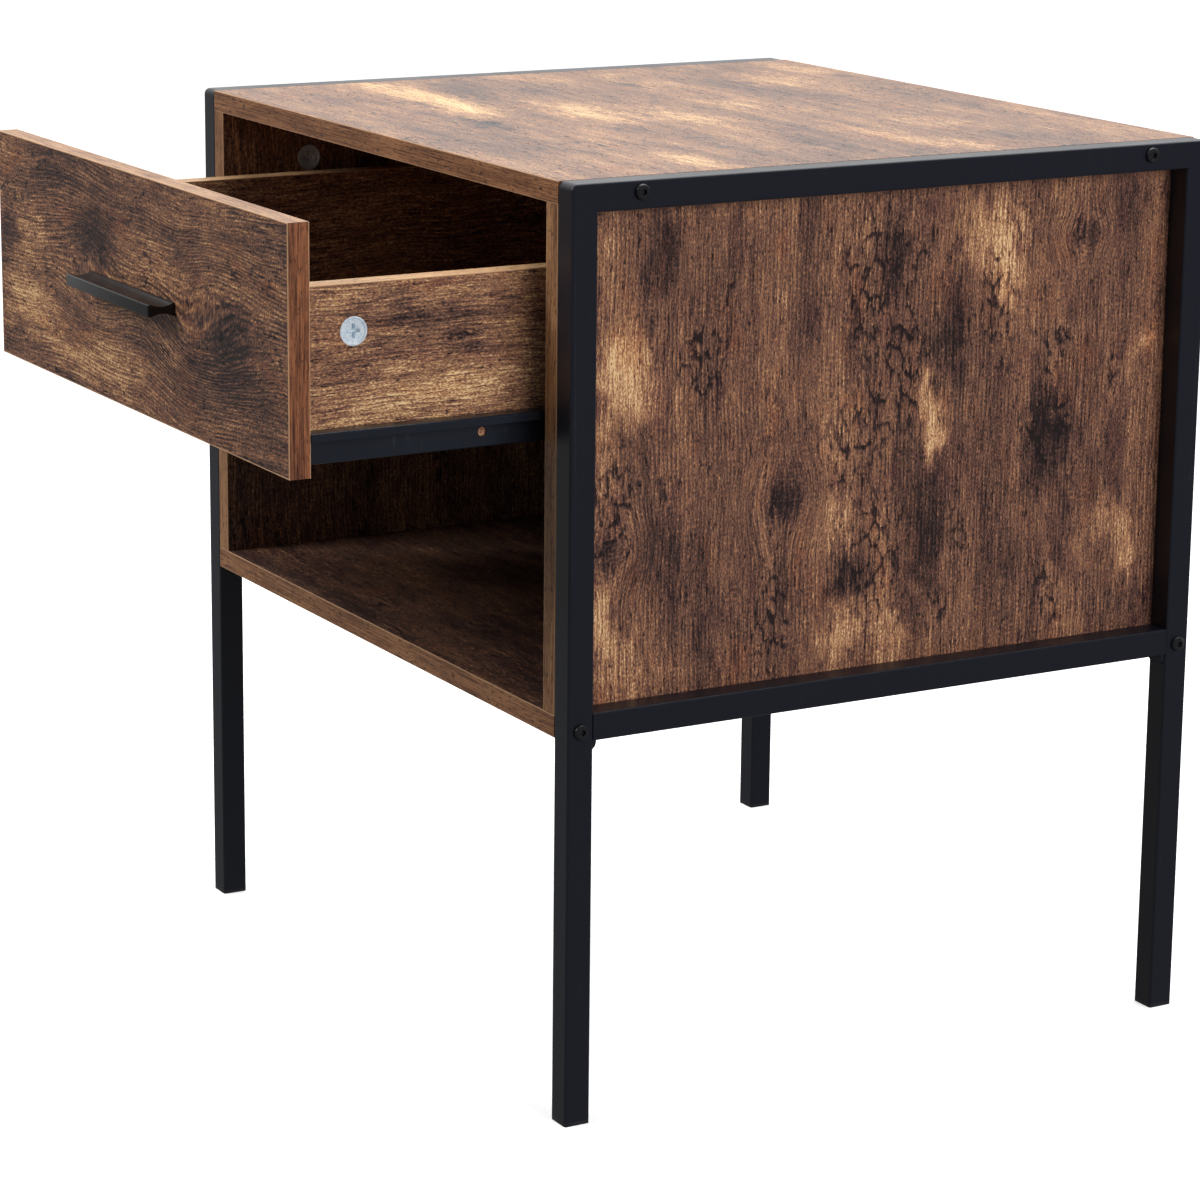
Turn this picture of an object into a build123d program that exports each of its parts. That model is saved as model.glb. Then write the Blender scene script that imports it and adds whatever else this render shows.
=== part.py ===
"""Side table with one drawer over an open shelf bay.

Two welded square-tube side frames stand on plastic glides and carry a laminated board cabinet. The
drawer runs on a pair of roller slides. Millimetres, +Z up, front towards -Y. The drawer stands
partly open, and the origin is the centre of the base of the whole object in that state.
"""

from build123d import *
import os

os.makedirs("parts", exist_ok=True)

# ---- Driving dimensions ---------------------------------------------------------------------
WIDTH = 450.0  # outer face to outer face of the side frames
DEPTH = 400.0  # front to rear of the side frames
HEIGHT = 500.0
TUBE = 15.0  # square tube
TUBE_WALL = 1.2
TUBE_EDGE_R = 1.3
FRAME_CORNER_R = 3.5  # ground mitre at the top corners, seen from the side
RAIL_BOTTOM = 210.0  # underside of the lower rails and of the bottom board

BOARD = 12.0
BAND = 0.8  # edge band
BAND_R = 0.36
BACK_SHEET = 3.0
GROOVE = 4.0
BACK_INSET = 10.0  # from the rear edge to the back sheet

DRAWER_OPEN = 142.0  # how far the drawer stands out at rest
DRAWER_TRAVEL = 260.0  # three-quarter extension of a 350 mm slide
FRONT_PANEL_W = 388.0
FRONT_PANEL_LOW = 357.5
FRONT_PANEL_HIGH = 486.0
SLIDE_SPACE = 12.5  # each side, between cabinet and drawer box
SLIDE_LENGTH = 350.0
SLIDE_SETBACK = 2.0  # cabinet slide behind the drawer front's closed place
SLIDE_SCREW_Z = 370.0
DRAWER_CAM_IN = 28.0
SIDE_LOW = 363.3
SIDE_HIGH = 452.4
FLOOR_LOW = 371.3  # underside of the drawer's thin floor
FLOOR_GROOVE = 5.0

HANDLE_L = 112.0
HANDLE_DEPTH = 15.5
HANDLE_BASE_H = 7.0
HANDLE_LIP_H = 6.4
HANDLE_WAIST_H = 3.7
HANDLE_HOLE_SPACING = 96.0

SHEET = 1.0  # slide steel
ROLLER_D = 17.0
ROLLER_W = 4.8
ROLLER_GAP = 0.3
ROLLER_EDGE_R = 0.6
ROLLER_FROM_BOX = 3.4  # from the drawer side to a roller's inner face
ROLLER_FROM_FRONT = 9.0  # from the front end of the cabinet slide to its roller
ROLLER_FROM_REAR = 10.0  # from the rear end of the drawer slide to its roller
PIN_D = 5.0
PIN_CLEARANCE = 0.05  # radial

CAM_D = 15.0
CAM_DEPTH = 9.5
CAM_TO_JOINT = 29.5
JOINT_IN = 56.0  # cams and long screws, from the front and rear edges
DOWEL_IN = 88.0
DOWEL_D = 8.0
DOWEL_L = 24.0
DOWEL_IN_FACE = 9.0
BOLT_D = 5.0
FRAME_SCREW_HEAD_D = 8.4
FRAME_SCREW_HEAD_H = 2.4
FRAME_SCREW_L = 40.0
TOP_SCREW_OUT = 160.0  # screws through the top rails, from the middle
SCREW_D = 3.5
SCREW_IN = 9.0  # how deep the small screws go

# ---- Derived places -------------------------------------------------------------------------
TOTAL_DEPTH = DEPTH + DRAWER_OPEN + HANDLE_DEPTH
REAR_Y = TOTAL_DEPTH / 2
FRONT_Y = REAR_Y - DEPTH
MID_Y = (FRONT_Y + REAR_Y) / 2
FACE_X = WIDTH / 2  # outer plane of a side frame
TUBE_IN = FACE_X - TUBE  # inner face of a tube, outer face of the boards
BAY_X = TUBE_IN - BOARD  # inner face of a side board
BOARD_MID_X = (TUBE_IN + BAY_X) / 2
TOP_UNDER = HEIGHT - BOARD
BOTTOM_TOP = RAIL_BOTTOM + BOARD
JOINT_Y = (FRONT_Y + JOINT_IN, REAR_Y - JOINT_IN)
DOWEL_Y = (FRONT_Y + DOWEL_IN, REAR_Y - DOWEL_IN)
TOP_SCREW_Y = (MID_Y - TOP_SCREW_OUT, MID_Y + TOP_SCREW_OUT)
LEG_SCREW_Y = (FRONT_Y + TUBE / 2, REAR_Y - TUBE / 2)
CAM_Z = TOP_UNDER - CAM_TO_JOINT

FACE_Y = FRONT_Y - DRAWER_OPEN  # outer face of the drawer front
BOX_Y = FACE_Y + BOARD  # inner face of the drawer front, where the drawer box starts
BOX_END_Y = BOX_Y + SLIDE_LENGTH
BOX_X = BAY_X - SLIDE_SPACE  # outer face of a drawer side
BOX_IN_X = BOX_X - BOARD
SIDE_MID_X = (BOX_X + BOX_IN_X) / 2
HANDLE_Z = (FRONT_PANEL_LOW + FRONT_PANEL_HIGH) / 2
DRAWER_CAM_Y = BOX_Y + DRAWER_CAM_IN
DRAWER_CAM_Z = 428.0
DRAWER_DOWEL_Z = 396.0

RAIL_TOP_Z = 380.0  # top of the drawer slide's outward flange
TRACK_Z = 357.0  # running face of the cabinet slide's lower flange
CABINET_SLIDE_Y = FRONT_Y + BOARD + SLIDE_SETBACK
SLIDE_SCREW_Y = [CABINET_SLIDE_Y + offset for offset in (40.0, 170.0, 300.0)]
FRONT_ROLLER = (
    CABINET_SLIDE_Y + ROLLER_FROM_FRONT,
    RAIL_TOP_Z - SHEET - ROLLER_GAP - ROLLER_D / 2,
)
REAR_ROLLER = (BOX_END_Y - ROLLER_FROM_REAR, TRACK_Z + ROLLER_GAP + ROLLER_D / 2)
ROLLER_X = BOX_X + ROLLER_FROM_BOX  # inner face of every roller


def write(piece, label):
    """Labels a finished piece and writes it as its own file."""
    piece.part.label = label
    export_step(piece.part, f"parts/{label}.step")


def bore(x, y, z, along, diameter, length):
    """Cuts a round hole from (x, y, z) into the part, in the direction along."""
    with BuildSketch(Plane(origin=(x, y, z), z_dir=along)) as mouth:
        Circle(diameter / 2)
    extrude(mouth.sketch, amount=length, mode=Mode.SUBTRACT)


def rod(x, y, z, along, diameter, length):
    """Adds a round rod that starts at (x, y, z)."""
    with BuildSketch(Plane(origin=(x, y, z), z_dir=along)) as section:
        Circle(diameter / 2)
    extrude(section.sketch, amount=length)


def slab(x, y, z, mode=Mode.ADD):
    """Adds or cuts a rectangular block between the given pairs of limits."""
    with BuildSketch(Plane.XY.offset(z[0])) as outline:
        with Locations(((x[0] + x[1]) / 2, (y[0] + y[1]) / 2)):
            Rectangle(x[1] - x[0], y[1] - y[0])
    extrude(outline.sketch, amount=z[1] - z[0], mode=mode)


def mirrored(piece):
    """The same piece on the other side of the table."""
    with BuildPart() as other:
        mirror(piece.part, about=Plane.YZ)
    return other


def write_pair(piece, name):
    """Writes the right-hand piece and its left-hand twin."""
    write(piece, f"right_{name}")
    write(mirrored(piece), f"left_{name}")


# ---- Side frames ----------------------------------------------------------------------------
# One hollow portal per side, mitred at its top corners and cut there into leg, rail and leg.
GLIDE_RIM = 2.0
with BuildPart() as portal:
    with BuildSketch(Plane.YZ.offset(TUBE_IN)):
        with Locations((MID_Y, (GLIDE_RIM + HEIGHT) / 2)):
            Rectangle(DEPTH, HEIGHT - GLIDE_RIM)
        with Locations((MID_Y, (GLIDE_RIM + HEIGHT - TUBE) / 2)):
            Rectangle(DEPTH - 2 * TUBE, HEIGHT - TUBE - GLIDE_RIM, mode=Mode.SUBTRACT)
    extrude(amount=TUBE)
    top_corners = portal.edges().filter_by(Axis.X).group_by(Axis.Z)[-1]
    fillet(top_corners, FRAME_CORNER_R)
    side_outlines = portal.faces().filter_by(Axis.X).edges()
    foot_edges = portal.faces().group_by(Axis.Z)[0].edges()
    fillet([edge for edge in side_outlines if edge not in foot_edges], TUBE_EDGE_R)
    with BuildSketch(Plane.YZ.offset(TUBE_IN + TUBE_WALL)):
        with Locations((MID_Y, (GLIDE_RIM + HEIGHT - TUBE_WALL) / 2)):
            Rectangle(DEPTH - 2 * TUBE_WALL, HEIGHT - TUBE_WALL - GLIDE_RIM)
        with Locations((MID_Y, (GLIDE_RIM + HEIGHT - TUBE + TUBE_WALL) / 2)):
            Rectangle(
                DEPTH - 2 * (TUBE - TUBE_WALL),
                HEIGHT - TUBE + TUBE_WALL - GLIDE_RIM,
                mode=Mode.SUBTRACT,
            )
    extrude(amount=TUBE - 2 * TUBE_WALL, mode=Mode.SUBTRACT)
    for screw_y in TOP_SCREW_Y:
        bore(TUBE_IN, screw_y, TOP_UNDER + BOARD / 2, (1, 0, 0), BOLT_D, TUBE)
    for screw_y in LEG_SCREW_Y:
        bore(TUBE_IN, screw_y, RAIL_BOTTOM + BOARD / 2, (1, 0, 0), BOLT_D, TUBE)

SPARE = 5.0  # how far the cutting outlines reach past the tube
mitre_out = (HEIGHT + SPARE, SPARE)
mitre_in = (HEIGHT - TUBE - SPARE, TUBE + SPARE)


def cut_from_portal(corners):
    """The stretch of the portal inside an outline given in Y and Z."""
    with BuildPart() as tube:
        add(portal.part)
        with BuildSketch(Plane.YZ.offset(TUBE_IN - SPARE)) as outline:
            with BuildLine():
                Polyline(*corners, close=True)
            make_face()
        extrude(outline.sketch, amount=TUBE + 2 * SPARE, mode=Mode.INTERSECT)
    return tube


front_outline = [
    (FRONT_Y - SPARE, -SPARE),
    (FRONT_Y - mitre_out[1], mitre_out[0]),
    (FRONT_Y + mitre_in[1], mitre_in[0]),
    (FRONT_Y + TUBE + SPARE, -SPARE),
]
rear_outline = [(2 * MID_Y - y, z) for y, z in front_outline]
rail_outline = [front_outline[1], rear_outline[1], rear_outline[2], front_outline[2]]
write_pair(cut_from_portal(front_outline), "front_leg")
write_pair(cut_from_portal(rear_outline), "rear_leg")
write_pair(cut_from_portal(rail_outline), "top_rail")

with BuildPart() as lower_rail:
    rail_y = (FRONT_Y + TUBE, REAR_Y - TUBE)
    slab((TUBE_IN, FACE_X), rail_y, (RAIL_BOTTOM, RAIL_BOTTOM + TUBE))
    fillet(lower_rail.edges().filter_by(Axis.Y), TUBE_EDGE_R)
    slab(
        (TUBE_IN + TUBE_WALL, FACE_X - TUBE_WALL),
        rail_y,
        (RAIL_BOTTOM + TUBE_WALL, RAIL_BOTTOM + TUBE - TUBE_WALL),
        mode=Mode.SUBTRACT,
    )
write_pair(lower_rail, "lower_rail")

# A small bead of weld under each end of the lower rails.
BEAD_H = 6.0
BEAD_D = 3.4
BEAD_BULGE = (0.8, 0.62)  # where its face stands proudest, as shares of its depth and height
with BuildPart() as weld_beads:
    for corner_y, way in ((FRONT_Y + TUBE, 1), (REAR_Y - TUBE, -1)):
        with BuildSketch(Plane.YZ.offset(TUBE_IN + TUBE_EDGE_R)) as bead:
            with BuildLine():
                Polyline(
                    (corner_y, RAIL_BOTTOM - BEAD_H),
                    (corner_y, RAIL_BOTTOM),
                    (corner_y + way * BEAD_D, RAIL_BOTTOM),
                )
                ThreePointArc(
                    (corner_y + way * BEAD_D, RAIL_BOTTOM),
                    (corner_y + way * BEAD_D * BEAD_BULGE[0], RAIL_BOTTOM - BEAD_H * BEAD_BULGE[1]),
                    (corner_y, RAIL_BOTTOM - BEAD_H),
                )
            make_face()
        extrude(bead.sketch, amount=TUBE - 2 * TUBE_EDGE_R)
    mirror(weld_beads.part, about=Plane.YZ)
write(weld_beads, "weld_beads")

GLIDE_SPIGOT = 12.0
with BuildPart() as leg_glides:
    for glide_y in LEG_SCREW_Y:
        with BuildSketch() as rim:
            with Locations((FACE_X - TUBE / 2, glide_y)):
                RectangleRounded(TUBE, TUBE, TUBE_EDGE_R)
        extrude(rim.sketch, amount=GLIDE_RIM)
        with BuildSketch(Plane.XY.offset(GLIDE_RIM)) as spigot:
            with Locations((FACE_X - TUBE / 2, glide_y)):
                Rectangle(TUBE - 2 * TUBE_WALL, TUBE - 2 * TUBE_WALL)
        extrude(spigot.sketch, amount=GLIDE_SPIGOT)
    mirror(leg_glides.part, about=Plane.YZ)
write(leg_glides, "leg_glides")

# ---- Cabinet boards -------------------------------------------------------------------------
CORE_Y = (FRONT_Y + BAND, REAR_Y - BAND)  # between the front and the rear edge band
BACK_Y = (REAR_Y - BACK_INSET - BACK_SHEET, REAR_Y - BACK_INSET)
BOARD_SCREW_IN = FRAME_SCREW_L - TUBE
CAM_BOLT_IN = 8.0
CAM_BORE_D = 7.0
LONG_SCREW_L = 40.0
LONG_SCREW_HEAD_H = 3.0

with BuildPart() as top_panel:
    slab((-TUBE_IN, TUBE_IN), CORE_Y, (TOP_UNDER, HEIGHT))
    slab((-BAY_X - GROOVE, BAY_X + GROOVE), BACK_Y, (TOP_UNDER, TOP_UNDER + GROOVE), Mode.SUBTRACT)
    for side in (-1, 1):
        for y in TOP_SCREW_Y:
            bore(side * TUBE_IN, y, HEIGHT - BOARD / 2, (-side, 0, 0), BOLT_D, BOARD_SCREW_IN)
        for y in JOINT_Y:
            bore(side * BOARD_MID_X, y, TOP_UNDER, (0, 0, 1), BOLT_D, CAM_BOLT_IN)
        for y in DOWEL_Y:
            bore(side * BOARD_MID_X, y, TOP_UNDER, (0, 0, 1), DOWEL_D, DOWEL_IN_FACE)
write(top_panel, "top_panel")

with BuildPart() as bottom_panel:
    slab((-TUBE_IN, TUBE_IN), CORE_Y, (RAIL_BOTTOM, BOTTOM_TOP))
    slab((-BAY_X - GROOVE, BAY_X + GROOVE), BACK_Y, (BOTTOM_TOP - GROOVE, BOTTOM_TOP), Mode.SUBTRACT)
    for side in (-1, 1):
        for y in LEG_SCREW_Y:
            bore(side * TUBE_IN, y, RAIL_BOTTOM + BOARD / 2, (-side, 0, 0), BOLT_D, BOARD_SCREW_IN)
        for y in JOINT_Y:
            with Locations(Plane(origin=(side * BOARD_MID_X, y, RAIL_BOTTOM), z_dir=(0, 0, -1))):
                CounterBoreHole(BOLT_D / 2, CAM_BORE_D / 2, LONG_SCREW_HEAD_H, BOARD)
        for y in DOWEL_Y:
            bore(side * BOARD_MID_X, y, BOTTOM_TOP, (0, 0, -1), DOWEL_D, DOWEL_IN_FACE)
write(bottom_panel, "bottom_panel")

with BuildPart() as side_panel:
    slab((BAY_X, TUBE_IN), CORE_Y, (BOTTOM_TOP, TOP_UNDER))
    slab((BAY_X, BAY_X + GROOVE), BACK_Y, (BOTTOM_TOP, TOP_UNDER), Mode.SUBTRACT)
    for y in JOINT_Y:
        bore(BAY_X, y, CAM_Z, (1, 0, 0), CAM_D, CAM_DEPTH)
        bore(BOARD_MID_X, y, TOP_UNDER, (0, 0, -1), CAM_BORE_D, CAM_TO_JOINT - 1)
        bore(BOARD_MID_X, y, BOTTOM_TOP, (0, 0, 1), BOLT_D, LONG_SCREW_L - BOARD)
    for y in DOWEL_Y:
        bore(BOARD_MID_X, y, TOP_UNDER, (0, 0, -1), DOWEL_D, DOWEL_L - DOWEL_IN_FACE)
        bore(BOARD_MID_X, y, BOTTOM_TOP, (0, 0, 1), DOWEL_D, DOWEL_L - DOWEL_IN_FACE)
    for y in SLIDE_SCREW_Y:
        bore(BAY_X, y, SLIDE_SCREW_Z, (1, 0, 0), SCREW_D, SCREW_IN)
write_pair(side_panel, "side_panel")

with BuildPart() as back_panel:
    slab((-BAY_X - GROOVE, BAY_X + GROOVE), BACK_Y, (BOTTOM_TOP - GROOVE, TOP_UNDER + GROOVE))
write(back_panel, "back_panel")


def band_strip(x, y, z, along):
    """Adds an edge band strip with its long edges eased."""
    with BuildPart(mode=Mode.PRIVATE) as strip:
        slab(x, y, z)
        fillet(strip.edges().filter_by(along), BAND_R)
    add(strip.part)


FRONT_BAND_Y = (FRONT_Y, FRONT_Y + BAND)
REAR_BAND_Y = (REAR_Y - BAND, REAR_Y)
with BuildPart() as top_panel_bands:
    for band_y in (FRONT_BAND_Y, REAR_BAND_Y):
        band_strip((-TUBE_IN, TUBE_IN), band_y, (TOP_UNDER, HEIGHT), Axis.X)
write(top_panel_bands, "top_panel_bands")

with BuildPart() as bottom_panel_bands:
    for band_y in (FRONT_BAND_Y, REAR_BAND_Y):
        band_strip((-TUBE_IN, TUBE_IN), band_y, (RAIL_BOTTOM, BOTTOM_TOP), Axis.X)
write(bottom_panel_bands, "bottom_panel_bands")

with BuildPart() as side_panel_bands:
    for band_y in (FRONT_BAND_Y, REAR_BAND_Y):
        band_strip((BAY_X, TUBE_IN), band_y, (BOTTOM_TOP, TOP_UNDER), Axis.Z)
        band_strip((-TUBE_IN, -BAY_X), band_y, (BOTTOM_TOP, TOP_UNDER), Axis.Z)
write(side_panel_bands, "side_panel_bands")

# ---- Cabinet fasteners ----------------------------------------------------------------------
SOCKET_AF = 3.0
SOCKET_DEPTH = 1.5
BUTTON_R = 1.6


def button_head(y, z):
    """Adds a domed screw head with a hexagon socket on the outer face of a side frame."""
    with BuildPart(Plane(origin=(FACE_X, y, z), z_dir=(1, 0, 0)), mode=Mode.PRIVATE) as head:
        Cylinder(
            FRAME_SCREW_HEAD_D / 2,
            FRAME_SCREW_HEAD_H,
            align=(Align.CENTER, Align.CENTER, Align.MIN),
        )
        fillet(head.edges().filter_by(GeomType.CIRCLE).group_by(Axis.X)[-1], BUTTON_R)
        with BuildSketch(Plane(origin=(FACE_X + FRAME_SCREW_HEAD_H, y, z), z_dir=(1, 0, 0))):
            RegularPolygon(SOCKET_AF / 2, 6, major_radius=False)
        extrude(amount=-SOCKET_DEPTH, mode=Mode.SUBTRACT)
    add(head.part)


with BuildPart() as frame_screws:
    places = [(y, TOP_UNDER + BOARD / 2) for y in TOP_SCREW_Y]
    places += [(y, RAIL_BOTTOM + BOARD / 2) for y in LEG_SCREW_Y]
    for y, z in places:
        rod(FACE_X, y, z, (-1, 0, 0), BOLT_D, FRAME_SCREW_L)
        button_head(y, z)
    mirror(frame_screws.part, about=Plane.YZ)
write(frame_screws, "frame_screws")

CROSS_W = 1.6
CROSS_L = 8.0
CROSS_DEPTH = 1.8
BOLT_SHORT = 6.0  # from a cam's middle back to the end of its bolt's shank
BOLT_NECK_L = 3.0
BOLT_NECK_D = CAM_BORE_D - 0.6


def cam(x, y, z, outward, bolt_way):
    """Adds a cam lock disc, its cross-slotted face at (x, y, z), open towards its bolt."""
    with BuildPart(mode=Mode.PRIVATE) as disc:
        rod(x, y, z, tuple(-n for n in outward), CAM_D, CAM_DEPTH)
        face_plane = Plane(origin=(x, y, z), x_dir=(0, 1, 0), z_dir=outward)
        with BuildSketch(face_plane) as cross:
            Rectangle(CROSS_L, CROSS_W)
            Rectangle(CROSS_W, CROSS_L)
        extrude(cross.sketch, amount=-CROSS_DEPTH, mode=Mode.SUBTRACT)
        middle = Vector(x, y, z) - Vector(*outward) * (BOARD / 2)
        bore(middle.X, middle.Y, middle.Z, bolt_way, CAM_BORE_D, CAM_D)
    add(disc.part)


def cam_bolt(x, y, z, to_cam, into_face):
    """Adds a cam bolt that starts into_face deep behind (x, y, z) and ends in its cam."""
    start = Vector(x, y, z) - Vector(*to_cam) * into_face
    rod(start.X, start.Y, start.Z, to_cam, BOLT_D, into_face + CAM_TO_JOINT - BOLT_SHORT)
    neck = Vector(x, y, z) + Vector(*to_cam) * (CAM_TO_JOINT - BOLT_SHORT)
    rod(neck.X, neck.Y, neck.Z, to_cam, BOLT_NECK_D, BOLT_NECK_L)


with BuildPart() as cabinet_cams:
    for y in JOINT_Y:
        cam(BAY_X, y, CAM_Z, (-1, 0, 0), (0, 0, 1))
    mirror(cabinet_cams.part, about=Plane.YZ)
write(cabinet_cams, "cabinet_cams")

with BuildPart() as cabinet_cam_bolts:
    for y in JOINT_Y:
        cam_bolt(BOARD_MID_X, y, TOP_UNDER, (0, 0, -1), CAM_BOLT_IN)
    mirror(cabinet_cam_bolts.part, about=Plane.YZ)
write(cabinet_cam_bolts, "cabinet_cam_bolts")

with BuildPart() as cabinet_dowels:
    for y in DOWEL_Y:
        rod(BOARD_MID_X, y, TOP_UNDER + DOWEL_IN_FACE, (0, 0, -1), DOWEL_D, DOWEL_L)
        rod(BOARD_MID_X, y, BOTTOM_TOP - DOWEL_IN_FACE, (0, 0, 1), DOWEL_D, DOWEL_L)
    mirror(cabinet_dowels.part, about=Plane.YZ)
write(cabinet_dowels, "cabinet_dowels")

with BuildPart() as bottom_screws:
    for y in JOINT_Y:
        rod(BOARD_MID_X, y, RAIL_BOTTOM, (0, 0, 1), CAM_BORE_D, LONG_SCREW_HEAD_H)
        rod(BOARD_MID_X, y, RAIL_BOTTOM, (0, 0, 1), BOLT_D, LONG_SCREW_L)
    mirror(bottom_screws.part, about=Plane.YZ)
    for face in bottom_screws.faces().filter_by(Axis.Z).group_by(Axis.Z)[0]:
        with BuildSketch(Plane(face.center(), z_dir=(0, 0, -1))) as socket:
            RegularPolygon(SOCKET_AF / 2, 6, major_radius=False)
        extrude(socket.sketch, amount=-SOCKET_DEPTH, mode=Mode.SUBTRACT)
write(bottom_screws, "bottom_screws")

# ---- Slides ---------------------------------------------------------------------------------
# The cabinet slide is a channel screwed to the side board; the drawer slide hooks over it.
SLIDE_LIP = 4.0
CHANNEL_X = BAY_X - SHEET / 2  # middle of the channel's web
CHANNEL_IN_X = BOX_X + 2.5  # middle of the channel's inner lip
CHANNEL_TOP_X = CHANNEL_IN_X + 1.5  # edge of its shorter top flange
CHANNEL_TOP = 384.0
CHANNEL_BEND_R = 0.8
STOP_H = 3.5
STOP_GAP = 7.3  # from a roller's centre to the stop that it meets
SLIDE_SCREW_HEAD_D = 6.6
SLIDE_SCREW_HEAD_H = 1.2

with BuildPart() as cabinet_slide:
    with BuildSketch(Plane.XZ.offset(-CABINET_SLIDE_Y)):
        with BuildLine() as channel:
            FilletPolyline(
                (CHANNEL_IN_X, TRACK_Z - SHEET + SLIDE_LIP),
                (CHANNEL_IN_X, TRACK_Z - SHEET / 2),
                (CHANNEL_X, TRACK_Z - SHEET / 2),
                (CHANNEL_X, CHANNEL_TOP),
                (CHANNEL_TOP_X, CHANNEL_TOP),
                radius=CHANNEL_BEND_R,
            )
        trace(line_width=SHEET)
    extrude(amount=-SLIDE_LENGTH)
    full_open_y = REAR_ROLLER[0] - (DRAWER_TRAVEL - DRAWER_OPEN)
    closed_y = REAR_ROLLER[0] + DRAWER_OPEN
    for stop_y in (full_open_y - STOP_GAP - SHEET, closed_y + STOP_GAP):
        slab(
            (CHANNEL_TOP_X, CHANNEL_X - SHEET),
            (stop_y, stop_y + SHEET),
            (TRACK_Z - SHEET / 2, TRACK_Z + STOP_H),
        )
    for y in SLIDE_SCREW_Y:
        bore(CHANNEL_X - SHEET, y, SLIDE_SCREW_Z, (1, 0, 0), SCREW_D, 2 * SHEET)
    bore(CHANNEL_X - SHEET, *FRONT_ROLLER, (1, 0, 0), PIN_D, 2 * SHEET)
write_pair(cabinet_slide, "cabinet_slide")

with BuildPart() as cabinet_slide_screws:
    for y in SLIDE_SCREW_Y:
        rod(CHANNEL_X - SHEET / 2, y, SLIDE_SCREW_Z, (1, 0, 0), SCREW_D, SCREW_IN + SHEET)
        rod(
            CHANNEL_X - SHEET / 2,
            y,
            SLIDE_SCREW_Z,
            (-1, 0, 0),
            SLIDE_SCREW_HEAD_D,
            SLIDE_SCREW_HEAD_H,
        )
    mirror(cabinet_slide_screws.part, about=Plane.YZ)
write(cabinet_slide_screws, "cabinet_slide_screws")

HOOK_X = BAY_X - 3.5  # middle of the drawer slide's hanging lip
HOLE_FROM_FRONT = 100.0
HOLE_Z = 370.5
FLOOR_FLANGE = 11.5
HOOK_BEND_R = 0.6
DRAWER_SLIDE_SCREW_Y = [BOX_Y + offset for offset in (160.0, 290.0)]
DRAWER_SLIDE_SCREW_X = BOX_X - 4.6

with BuildPart() as drawer_slide:
    with BuildSketch(Plane.XZ.offset(-BOX_Y)):
        with BuildLine():
            FilletPolyline(
                (HOOK_X, RAIL_TOP_Z - SLIDE_LIP - SHEET / 2),
                (HOOK_X, RAIL_TOP_Z - SHEET / 2),
                (BOX_X + SHEET / 2, RAIL_TOP_Z - SHEET / 2),
                (BOX_X + SHEET / 2, SIDE_LOW - SHEET / 2),
                (BOX_X - FLOOR_FLANGE, SIDE_LOW - SHEET / 2),
                radius=HOOK_BEND_R,
            )
        trace(line_width=SHEET)
    extrude(amount=-SLIDE_LENGTH)
    bore(BOX_X - SHEET, BOX_Y + HOLE_FROM_FRONT, HOLE_Z, (1, 0, 0), PIN_D, 3 * SHEET)
    bore(BOX_X - SHEET, *REAR_ROLLER, (1, 0, 0), PIN_D, 3 * SHEET)
    for y in DRAWER_SLIDE_SCREW_Y:
        bore(DRAWER_SLIDE_SCREW_X, y, SIDE_LOW - 2 * SHEET, (0, 0, 1), SCREW_D, 3 * SHEET)
write_pair(drawer_slide, "drawer_slide")

with BuildPart() as drawer_slide_screws:
    for y in DRAWER_SLIDE_SCREW_Y:
        rod(DRAWER_SLIDE_SCREW_X, y, SIDE_LOW - SHEET, (0, 0, 1), SCREW_D, SCREW_IN + SHEET)
        rod(
            DRAWER_SLIDE_SCREW_X,
            y,
            SIDE_LOW - SHEET,
            (0, 0, -1),
            SLIDE_SCREW_HEAD_D,
            SLIDE_SCREW_HEAD_H,
        )
    mirror(drawer_slide_screws.part, about=Plane.YZ)
write(drawer_slide_screws, "drawer_slide_screws")

PIN_HEAD_D = 7.6
PIN_HEAD = 0.8
PIN_PLAY = 0.3  # between a roller's faces and its pin's collars
with BuildPart() as cabinet_roller_pins:
    pin_inner_x = ROLLER_X - PIN_PLAY
    rod(pin_inner_x, *FRONT_ROLLER, (1, 0, 0), PIN_D, BAY_X - pin_inner_x)
    rod(pin_inner_x, *FRONT_ROLLER, (-1, 0, 0), PIN_HEAD_D, PIN_HEAD)
    collar_x = ROLLER_X + ROLLER_W + PIN_PLAY
    rod(collar_x, *FRONT_ROLLER, (1, 0, 0), PIN_HEAD_D, BAY_X - SHEET - collar_x)
    mirror(cabinet_roller_pins.part, about=Plane.YZ)
write(cabinet_roller_pins, "cabinet_roller_pins")

with BuildPart() as drawer_roller_pins:
    pin_outer_x = ROLLER_X + ROLLER_W + PIN_PLAY
    rod(BOX_X, *REAR_ROLLER, (1, 0, 0), PIN_D, pin_outer_x - BOX_X)
    rod(BOX_X + SHEET, *REAR_ROLLER, (1, 0, 0), PIN_HEAD_D, ROLLER_X - PIN_PLAY - BOX_X - SHEET)
    rod(pin_outer_x, *REAR_ROLLER, (1, 0, 0), PIN_HEAD_D, PIN_HEAD)
    mirror(drawer_roller_pins.part, about=Plane.YZ)
write(drawer_roller_pins, "drawer_roller_pins")


def roller(y, z):
    """A nylon roller that turns about a pin along X."""
    with BuildPart() as wheel:
        rod(ROLLER_X, y, z, (1, 0, 0), ROLLER_D, ROLLER_W)
        fillet(wheel.edges().filter_by(GeomType.CIRCLE), ROLLER_EDGE_R)
        bore(ROLLER_X - 1, y, z, (1, 0, 0), PIN_D + 2 * PIN_CLEARANCE, ROLLER_W + 2)
    return wheel


write_pair(roller(*FRONT_ROLLER), "front_roller")
write_pair(roller(*REAR_ROLLER), "rear_roller")

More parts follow.
